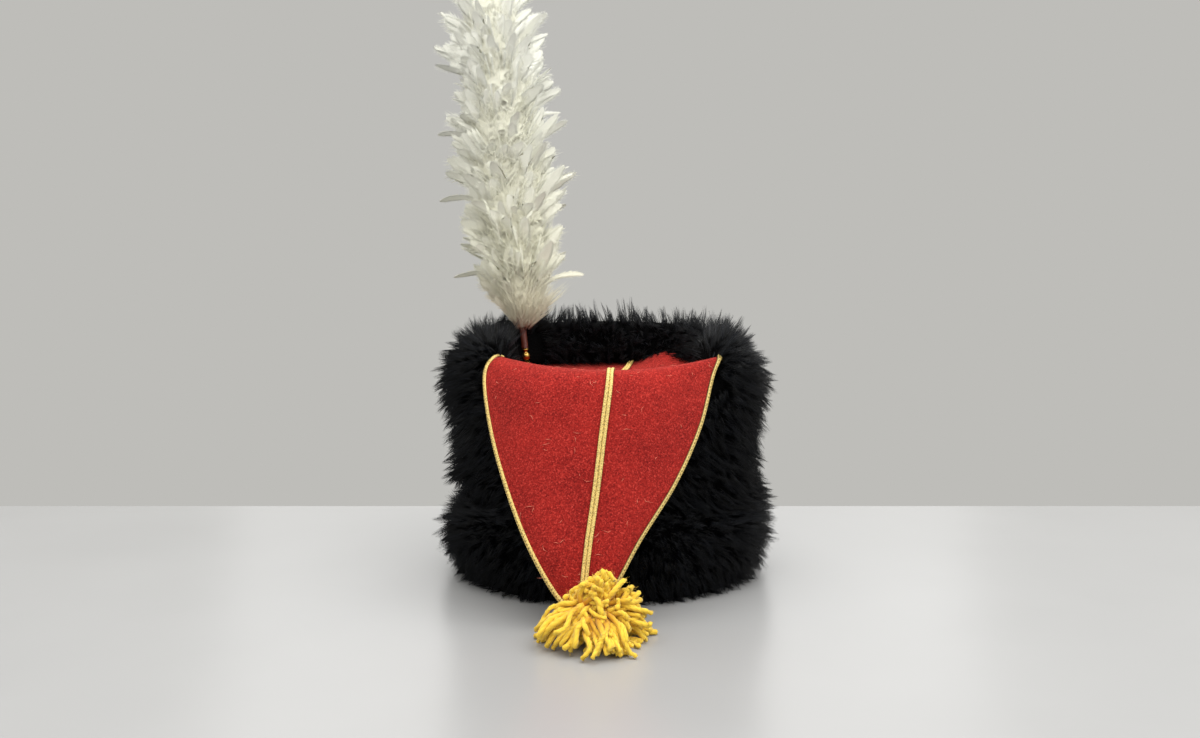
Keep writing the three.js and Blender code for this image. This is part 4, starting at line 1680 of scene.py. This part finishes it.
    def fluff(self, paths: Array, rng: np.random.Generator) -> Surface:
        """Makes fine fibres that stand off the strands and end bent.

        Args:
            paths: Points as [strand, step, axis].
            rng: The seeded source of their small differences.

        Returns:
            All the fibres as one surface.
        """
        which = np.repeat(np.arange(len(paths)), self.fluff_each)
        count = len(which)
        place = rng.integers(self.fluff_from, paths.shape[1] - 1, count)
        root = paths[which, place]
        off = unit(rng.normal(size=(count, 3)))
        along = unit(root - paths[which, place - 1])
        middle = root + off * (self.yarn + self.fluff_off)
        length = rng.uniform(*self.fluff_lengths, count)[:, None]
        points = np.stack([root, middle, middle + (off * self.fluff_spread + along) * length])
        points[..., 2] = np.maximum(points[..., 2], 2 * self.fluff_radius)
        return needles(*points, self.fluff_radius, rng.uniform(0, 1, count))

    def build(self, bag: Bag) -> list[bpy.types.Object]:
        """Makes the strands and their fluff.

        Args:
            bag: The bag whose tip the pompom hangs on.

        Returns:
            The piece.
        """
        rng = np.random.default_rng(self.seed)
        paths = self.paths(bag, rng)
        surface = joined([self.strand_skin(paths, rng), self.fluff(paths, rng)])
        return [add_piece("pompom_yarn", surface, WoolYarn().material(), "pompom")]


# Plume


@dataclass
class Feathers:
    """Leaves of the plume: middle lines as [feather, step, axis], the way of their width, and half of it."""

    lines: Array
    side: Array
    half: Array


@dataclass
class Plume:
    """Hackle feathers bound round a rod, on a wound stem with a brass ferrule, pinned through the cloth.

    Heights count from the cloth along the leaning axis. The rows give the height above the lowest feathers
    and how far their tips reach from the axis on either side. Singles are long feathers that stand out: the
    height of the root, the turn in degrees, the reach, and how far above the root the bend and the tip are.
    Barb reaches and slants have a mean and a spread. The brush is the down at the foot.
    """

    stem_middle: Array
    lean: float = math.radians(5.6)
    stem_start: float = 14.8
    stem_end: float = 32.2
    stem_radius: float = 2.8
    rod_radius: float = 2.5
    room: float = 6.0
    near_room: float = 70.0
    room_below: float = 10.0
    room_side: float = 30.0
    feathers_start: float = 32.5
    feathers: int = 385
    steps: int = 11
    closer: float = 1.6
    root_top: float = 256.0
    root_spread: float = 4.0
    root_limits: Range = (0.5, 260.0)
    layer: float = 21.0
    layer_pull: float = 0.6
    turn_spread: float = 1.2
    tips: Range = (26.0, 42.0)
    tip_right: float = 7.0
    tip_near: float = 9.0
    tip_top: float = 12.0
    top_heights: Range = (215.0, 258.0)
    tip_turn: float = 0.35
    reach_at: float = 0.6
    reaches: Range = (0.84, 1.16)
    reach_power: float = 1.4
    near_short: float = 0.2
    bends: Range = (0.3, 0.95)
    bend_reaches: Range = (0.25, 0.5)
    roll: float = 1.4
    single_roll: float = 0.7
    halves: Range = (4.6, 8.2)
    single_half: float = 3.6
    inward: float = 0.4
    solid: float = 0.78
    leaf_thick: float = 0.3
    leaf_bow: float = 0.22
    uneven: float = 0.1
    barb_count: int = 84
    barb_radius: float = 0.22
    barb_places: Range = (0.25, 0.97)
    barb_reach: Range = (1.05, 0.12)
    barb_slant: Range = (0.75, 0.15)
    barb_root: float = 0.25
    barb_middle: Point = (0.7, 0.55, 0.12)
    barb_tip: float = 1.3
    barb_droops: Range = (0.1, 0.45)
    barb_painted_shade: float = 0.0
    down_painted_shade: float = 0.4
    core: float = 0.5
    body_heights: Range = (1.0, 270.0)
    body_uneven: float = 0.07
    lump: float = 0.12
    fluff: int = 7000
    down_radius: float = 0.24
    down_top: float = 262.0
    down_rises: Range = (8.0, 28.0)
    down_root: float = 0.9
    down_fans: Range = (0.5, 0.76)
    down_turns: Range = (0.12, 0.22)
    brush: int = 1000
    brush_heights: Range = (-3.0, 5.0)
    brush_rises: Range = (8.0, 42.0)
    brush_roots: Range = (0.5, 6.5)
    brush_fans: Range = (0.6, 1.0)
    brush_right: float = 0.25
    brush_lower: float = 0.2
    bows: Range = (0.5, 0.68)
    bow_height: float = 0.55
    softness: float = 1.4
    upward: float = 0.7
    seed: int = 31
    rows: Table = field(
        default_factory=lambda: Table(
            "height left right",
            (0, 9, 9),
            (18, 23, 25),
            (52, 39, 46),
            (100, 44, 50),
            (150, 45, 49),
            (190, 44, 46),
            (230, 40, 42),
            (262, 32, 33),
            (284, 17, 17),
        )
    )
    singles: Table = field(
        default_factory=lambda: Table(
            "height turn reach bend tip",
            (90, 178, 64, 28, 20),
            (33, 185, 54, 22, 13),
            (17, 4, 57, 30, 21),
            (146, -8, 53, 30, 27),
            (138, 172, 57, 30, 26),
            (205, 10, 46, 26, 27),
        )
    )

    def __post_init__(self) -> None:
        """Works out the foot on the cloth and the axis of the lean."""
        self.up = np.array([-math.sin(self.lean), 0.0, math.cos(self.lean)])
        self.right = np.array([math.cos(self.lean), 0.0, math.sin(self.lean)])
        self.back = np.array([0.0, 1.0, 0.0])
        self.foot = self.stem_middle - self.up * (self.stem_start + self.stem_end) / 2

    def out(self, turn: Array) -> Array:
        """Directions square to the axis at turns about it."""
        return np.cos(turn)[..., None] * self.right + np.sin(turn)[..., None] * self.back

    def place(self, radius: Array | float, turn: Array | float, height: Array | float) -> Array:
        """Points at a radius from the axis, a turn about it and a height along it."""
        radius, turn, height = np.broadcast_arrays(radius, turn, height)
        return self.foot + radius[..., None] * self.out(turn) + height[..., None] * self.up

    def spun(self, radius: Array, turn: Array, height: Array, ends: Range) -> Surface:
        """Makes a closed skin of rings about the axis.

        Args:
            radius, turn, height: The rings' points, as [ring, point] together.
            ends: The heights of the points on the axis that close the first and the last ring.

        Returns:
            The skin.
        """
        poles = self.place(0.0, 0.0, np.array(ends))
        return skin(self.place(radius, turn, height)[None], (poles[:1], poles[1:]))

    def reach(self, turn: Array, height: Array) -> Array:
        """How far feathers reach from the axis: from the left to the right value by the turn's cosine."""
        return self.rows.round_at(turn, self.rows.row("height", height))

    def make_room(self, points: Array) -> Array:
        """Moves hairs sideways out of an oval of room round the stem, longer on the near side.

        Args:
            points: Roots, middles and tips. Each hair stays on the side of its root.

        Returns:
            The moved points.
        """
        off = points - self.foot
        height = off @ self.up
        right, back = off @ self.right, off @ self.back
        back = back / np.where(back < 0, self.near_room, self.room)
        side = np.where(right[0] < 0, -1, 1)
        edge = self.room * np.sqrt(np.maximum(1 - back**2, 0))
        level = (height > -self.room_below) & (height < self.feathers_start)
        near = level & (np.abs(back) < 1) & (np.abs(right) < self.room_side)
        inside = near & (right * side < edge)
        return points + np.where(inside, side * edge - right, 0)[..., None] * self.right

    def leaves(self, rng: np.random.Generator) -> Feathers:
        """Places the feathers: up along the rod, then bending outwards, more upright at the right and top.

        Roots stand at golden turns round the rod, drawn towards layers, and each middle line is a quadratic
        curve.

        Args:
            rng: The seeded source of their small differences.

        Returns:
            The feathers, with the singles last.
        """
        count = self.feathers
        number = np.arange(count)
        height = lerp(0.0, self.root_top, (number + 0.5) / count)
        height = lerp(height, self.layer * np.round(height / self.layer), self.layer_pull)
        height = np.clip(height + rng.normal(0, self.root_spread, count), *self.root_limits)
        turn = number * GOLDEN_ANGLE + rng.normal(0, self.turn_spread, count)
        near = np.maximum(0, -np.sin(turn))
        tip = rng.uniform(*self.tips, count) + self.tip_right * np.cos(turn) + self.tip_near * near
        tip = tip + self.tip_top * smoothstep(height, *self.top_heights)
        reach = self.reach(turn, height + self.reach_at * tip)
        reach = reach * lerp(*self.reaches, rng.uniform(0, 1, count) ** self.reach_power)
        reach = reach * (1 - self.near_short * near)
        bend = tip * rng.uniform(*self.bends, count)
        one = self.singles.columns
        height = np.append(height, one["height"]) + self.feathers_start
        turn = np.append(turn, np.radians(one["turn"]))
        reach = np.append(reach, one["reach"])
        bend = np.append(bend, one["bend"])
        tip = np.append(tip, one["tip"])
        total = len(height)
        lines = bezier(
            self.place(self.rod_radius, turn, height),
            self.place(reach * rng.uniform(*self.bend_reaches, total), turn, height + bend),
            self.place(reach, turn + rng.normal(0, self.tip_turn, total), height + tip),
            self.stations(),
        )
        roll = rng.uniform(-self.roll, self.roll, total)
        half = rng.uniform(*self.halves, total)
        roll[count:] = self.single_roll
        half[count:] = self.single_half
        wide = np.cos(turn)[:, None] * self.back - np.sin(turn)[:, None] * self.right
        lift = self.up - self.inward * self.out(turn)
        return Feathers(lines, np.cos(roll)[:, None] * wide + np.sin(roll)[:, None] * lift, half)

    def stations(self) -> Array:
        """Steps along a feather, closer together towards its tip."""
        return 1 - (1 - np.linspace(0, 1, self.steps)) ** self.closer

    def profile(self, share: Array) -> Array:
        """The outline of a leaf: a paddle, the sine of pi t^1.9 to the power 0.55."""
        return np.sin(math.pi * share**1.9) ** 0.55

    def vanes(self, feathers: Feathers, rng: np.random.Generator) -> Surface:
        """Makes thin leaves, bowed down at their edges by the square of the place across, with uneven edges.

        Args:
            feathers: The leaves' lines and widths.
            rng: The seeded source of their small differences.

        Returns:
            The solid middles of all the leaves as one surface.
        """
        spread = np.array([1.0, 0.5, 0.0, -0.5, -1.0, -0.6, 0.0, 0.6])
        below = self.leaf_thick * np.array([0, 0, 0, 0, 0, 1, 1, 1])
        wide = self.solid * feathers.half[:, None] * self.profile(self.stations()[1:-1])
        x = wide[..., None] * spread * rng.normal(1.0, self.uneven, (*wide.shape, len(spread)))
        y = -self.leaf_bow * wide[..., None] * spread**2 - below
        rings = ringed(feathers.lines, feathers.side, x, y)
        return skin(rings, (feathers.lines[:, 0], feathers.lines[:, -1]))

    def barbs(self, feathers: Feathers, rng: np.random.Generator) -> Surface:
        """Makes barbs that spread from each leaf's middle line to its outline, slanting towards its tip.

        They are spaced evenly along the leaf, on either side in turn. A barb leaves the solid middle of the
        leaf, bows down as the leaf does and ends past its outline.

        Args:
            feathers: The leaves.
            rng: The seeded source of their small differences.

        Returns:
            All the barbs as one surface.
        """
        count = len(feathers.half)
        which = np.repeat(np.arange(count), self.barb_count)
        total = len(which)
        number = np.tile(np.arange(self.barb_count), count)
        share = lerp(*self.barb_places, (number + rng.uniform(0, 1, total)) / self.barb_count)
        place = np.interp(share, self.stations(), np.arange(self.steps))
        low = np.minimum(place.astype(int), self.steps - 2)
        part = (place - low)[:, None]
        ways = (feathers.lines, *frames(feathers.lines, feathers.side))
        at, out, over = (lerp(one[which, low], one[which, low + 1], part) for one in ways)
        out = np.where(number % 2, 1.0, -1.0)[:, None] * out
        along = unit(feathers.lines[which, low + 1] - feathers.lines[which, low])
        wide = feathers.half[which] * self.profile(share) * rng.normal(*self.barb_reach, total)
        wide = wide[:, None]
        slant = rng.normal(*self.barb_slant, total)[:, None]
        outwards, onwards, down = self.barb_middle
        root = at + self.barb_root * wide * out
        middle = at + outwards * wide * out + onwards * slant * wide * along - down * wide * over
        tip = at + wide * out + self.barb_tip * slant * wide * along
        tip = tip - rng.uniform(*self.barb_droops, total)[:, None] * wide * over
        return needles(root, middle, tip, self.barb_radius, rng.uniform(0, 1, total))

    def down(self, rng: np.random.Generator) -> Surface:
        """Makes downy threads that rise off the thick of the down, and a brush of them at the foot.

        Args:
            rng: The seeded source of their small differences.

        Returns:
            All the threads as one surface.
        """
        count = self.fluff
        foot = np.arange(count) < self.brush
        turn = rng.uniform(0, 2 * math.pi, count)
        right = np.cos(turn)
        low = rng.uniform(*self.brush_heights, count)
        height = np.where(foot, low, self.down_top * rng.uniform(0, 1, count))
        rise = np.where(foot, rng.uniform(*self.brush_rises, count), rng.uniform(*self.down_rises, count))
        thick = self.down_root * (self.core * self.reach(turn, height))
        base = np.where(foot, rng.uniform(*self.brush_roots, count), thick)
        fanned = rng.uniform(*self.brush_fans, count) * (1 + self.brush_right * right)
        fans = np.where(foot, fanned, rng.uniform(*self.down_fans, count))
        reach = self.reach(turn, height + rise) * fans
        rise = np.where(foot, rise * (1 - self.brush_lower * right), rise)
        height = height + self.feathers_start
        bow = lerp(base, reach, np.where(foot, *self.bows))
        bow_turn, tip_turn = (turn + rng.normal(0, spread, count) for spread in self.down_turns)
        root = self.place(base, turn, height)
        middle = self.place(bow, bow_turn, height + rise * self.bow_height)
        tip = self.place(reach, tip_turn, height + rise)
        return needles(root, middle, tip, self.down_radius, rng.uniform(0, 1, count))

    def outward(self, points: Array) -> Array:
        """Directions away from the axis, tilted some way up it."""
        off = points - self.foot
        return unit(unit(off - (off @ self.up)[:, None] * self.up) + self.upward * self.up)

    def body(self, rng: np.random.Generator) -> Surface:
        """Makes the thick of the down: rings at a share of the feathers' reach, made lumpy by sine waves.

        Args:
            rng: The seeded source of its small steps.

        Returns:
            A closed skin.
        """
        sides, steps = 40, 90
        height = np.linspace(*self.body_heights, steps)[:, None]
        turn = turns(sides)
        lumps = self.lump * np.sin(3 * turn + height / 9) * np.sin(height / 13 - 2 * turn)
        radius = self.core * self.reach(turn, height) * (1 + lumps)
        radius = radius * rng.normal(1.0, self.body_uneven, (steps, sides))
        ends = (self.feathers_start + 0.5, self.feathers_start + 271.0)
        return self.spun(radius, turn, height + self.feathers_start, ends)

    def rod(self) -> Surface:
        """Makes the rod that the feathers are bound to, round and tapering to a point.

        Returns:
            A closed skin.
        """
        sides, tone = 12, 0.1
        height = self.feathers_start + np.array([0.0, 0.4, 60.0, 180.0, 268.0, 272.0])
        radius = np.array([2.4, 2.2, 1.6, 0.8])
        path = self.place(0.0, 0.0, height)[None]
        return strands(path, self.back[None], radius, radius, sides, np.array([tone]))

    def stem(self) -> Surface:
        """Makes a stem wound with thread: its radius swells once a turn, and the turns climb round it.

        Returns:
            A closed skin.
        """
        pitch, deep, sides, steps = 1.0, 0.3, 28, 130
        height = np.linspace(self.stem_start, self.stem_end, steps)[:, None]
        turn = turns(sides)
        phase = (height / pitch - turn / (2 * math.pi)) % 1
        radius = self.stem_radius - deep + deep * np.sqrt(1 - (2 * phase - 1) ** 2)
        return self.spun(radius, turn, height, (self.stem_start, self.stem_end))

    def ferrule(self) -> Surface:
        """Makes a turned pin, foot, ball and ring: radii and heights of one profile, spun round the axis.

        Returns:
            A closed skin.
        """
        ball, neck, middle, sides = 3.8, 2.0, 8.2, 36
        waist = math.acos(neck / ball)
        arc = np.linspace(-waist, waist, 17)
        profile = np.concatenate([
            [(1.5, -5.0), (1.5, 0.95), (3.2, 1.0), (3.4, 1.2), (3.4, 2.2), (3.2, 2.4), (neck, 5.0)],
            np.stack([ball * np.cos(arc), middle + ball * np.sin(arc)], -1),
            [(neck, 12.85), (2.9, 12.95), (3.1, 13.2), (3.1, 14.25), (2.9, 14.5)],
        ])
        return self.spun(profile[:, :1], turns(sides), profile[:, 1:], profile[[0, -1], 1])

    def build(self) -> list[bpy.types.Object]:
        """Makes the feathers, the wound stem and the ferrule.

        Returns:
            The pieces.
        """
        rng = np.random.default_rng(self.seed)
        feathers = self.leaves(rng)
        vanes = joined([self.vanes(feathers, rng), self.rod()])
        barbs = self.barbs(feathers, rng)
        down = joined([self.down(rng), self.body(rng)])
        pieces = [
            add_piece("plume_vanes", vanes, FeatherVane().material(), "plume"),
            add_piece("plume_barbs", barbs, FeatherBarb(self.barb_painted_shade).material()),
            add_piece("plume_down", down, FeatherBarb(self.down_painted_shade).material()),
        ]
        for piece, surface in zip(pieces, (vanes, barbs, down)):
            soften(piece, self.outward(surface.points), self.softness)
            # Leaves and barbs are so thin that light passes through them.
            piece.visible_shadow = surface is down
        return [
            *pieces,
            add_piece("plume_winding", self.stem(), WoundThread().material(), "plume_stem"),
            add_piece("plume_brass", self.ferrule(), WornBrass().material(), "plume_ferrule"),
        ]


# Stage


@dataclass(frozen=True)
class Lamp:
    """A square soft light: its place from the cap's axis, its side in metres and its power in watts."""

    name: str
    at: Point
    size: float
    power: float


@dataclass
class Studio:
    """A pale table top, soft light from above and the photo's camera."""

    axis: Array
    eye: Point = (-4.0, -884.0, 254.0)
    pitch: float = math.radians(5.84)
    lens: float = 32.82
    sensor: float = 36.0
    table_back: float = 222.0
    table_half: float = 2600.0
    table_thick: float = 40.0
    table_corner: float = 4.0
    wall: str = "#bebdb9"
    overhead: float = 2.2
    overhead_from: Range = (0.3, 0.9)
    lit_height: float = 150.0
    lamps: tuple[Lamp, ...] = (
        Lamp("ceiling", (350.0, -400.0, 1900.0), 2.2, 36.0),
        Lamp("front_right", (1400.0, -900.0, 1300.0), 2.0, 11.0),
        Lamp("front_left", (-1200.0, -1100.0, 1200.0), 2.0, 8.0),
        Lamp("behind", (0.0, 1500.0, 1300.0), 2.0, 12.0),
    )

    def table(self) -> None:
        """Makes a slab with softened edges whose back edge stands where the photo's table ends."""
        soft = self.table_corner
        front = -self.table_half
        x = np.array([-1, 1, 1, -1]) * self.table_half
        y = np.array([front, front, self.table_back, self.table_back]) + self.axis[1]
        inward = np.array([[1, 1], [-1, 1], [-1, -1], [1, -1]])
        inset = np.array([soft, 0.0, 0.0, soft])[:, None, None]
        level = np.array([-self.table_thick, soft - self.table_thick, -soft, 0.0])
        flat = np.stack([x, y], -1) + inset * inward
        rings = np.concatenate([flat, np.broadcast_to(level[:, None, None], (4, 4, 1))], -1)
        surface = skin(rings[None], (rings[:1].mean(1), rings[-1:].mean(1)))
        table = new_object("table_top", surface, WhiteLaminate().material())
        table.data.shade_flat()

    def light(self, lamp: Lamp) -> None:
        """Hangs a light that faces the cap's middle.

        Args:
            lamp: The light's name, place, size and power.
        """
        data = bpy.data.lights.new(lamp.name, "AREA")
        data.energy = lamp.power
        data.size = lamp.size
        holder = bpy.data.objects.new(lamp.name, data)
        holder.visible_camera = False
        target = np.array([*self.axis, self.lit_height])
        place = np.array(lamp.at) + [*self.axis, 0.0]
        holder.location = (place * MM).tolist()
        holder.rotation_euler = Vector((place - target).tolist()).to_track_quat("Z", "Y").to_euler()
        bpy.context.scene.collection.objects.link(holder)

    def camera(self) -> None:
        """Sets a camera before the cap, turned down a little."""
        data = bpy.data.cameras.new("camera")
        data.lens = self.lens
        data.sensor_width = self.sensor
        holder = bpy.data.objects.new("camera", data)
        holder.location = ((np.array(self.eye) + [*self.axis, 0.0]) * MM).tolist()
        holder.rotation_euler = (math.pi / 2 - self.pitch, 0.0, 0.0)
        bpy.context.scene.collection.objects.link(holder)
        bpy.context.scene.camera = holder

    def room(self) -> None:
        """Puts the wall's grey all round, brighter overhead."""
        shader = Shader(bpy.data.worlds.new("wall_grey"))
        way = shader.add("TexCoord").outputs["Generated"]
        height = shader.add("SeparateXYZ", way).outputs["Z"]
        strength = shader.add("MapRange", height, *self.overhead_from, 1.0, self.overhead)
        shader.add("OutputWorld", shader.add("Background", linear(self.wall), strength))
        bpy.context.scene.world = shader.holder

    def build(self) -> None:
        """Sets the camera, the table, the lights and the room."""
        self.camera()
        self.table()
        for lamp in self.lamps:
            self.light(lamp)
        self.room()
        bpy.context.scene.view_settings.view_transform = "Standard"


def main() -> None:
    """Builds the studio and the pieces around the frame."""
    logging.basicConfig(level=logging.INFO, format="%(name)s: %(message)s")
    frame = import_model()
    hollow = np.array(frame["record"]["physics"]["openings"][0]["box_m"]) / MM
    axis = hollow[:, :2].mean(0)
    stem = np.array(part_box("plume_stem")).mean(0) / MM
    Studio(axis).build()
    bag = Bag(axis)
    plume = Plume(stem)
    bag.build()
    plume.build()
    Pompom(axis).build(bag)
    FurCap(axis).build(bag, plume)


if __name__ == "__main__":
    main()
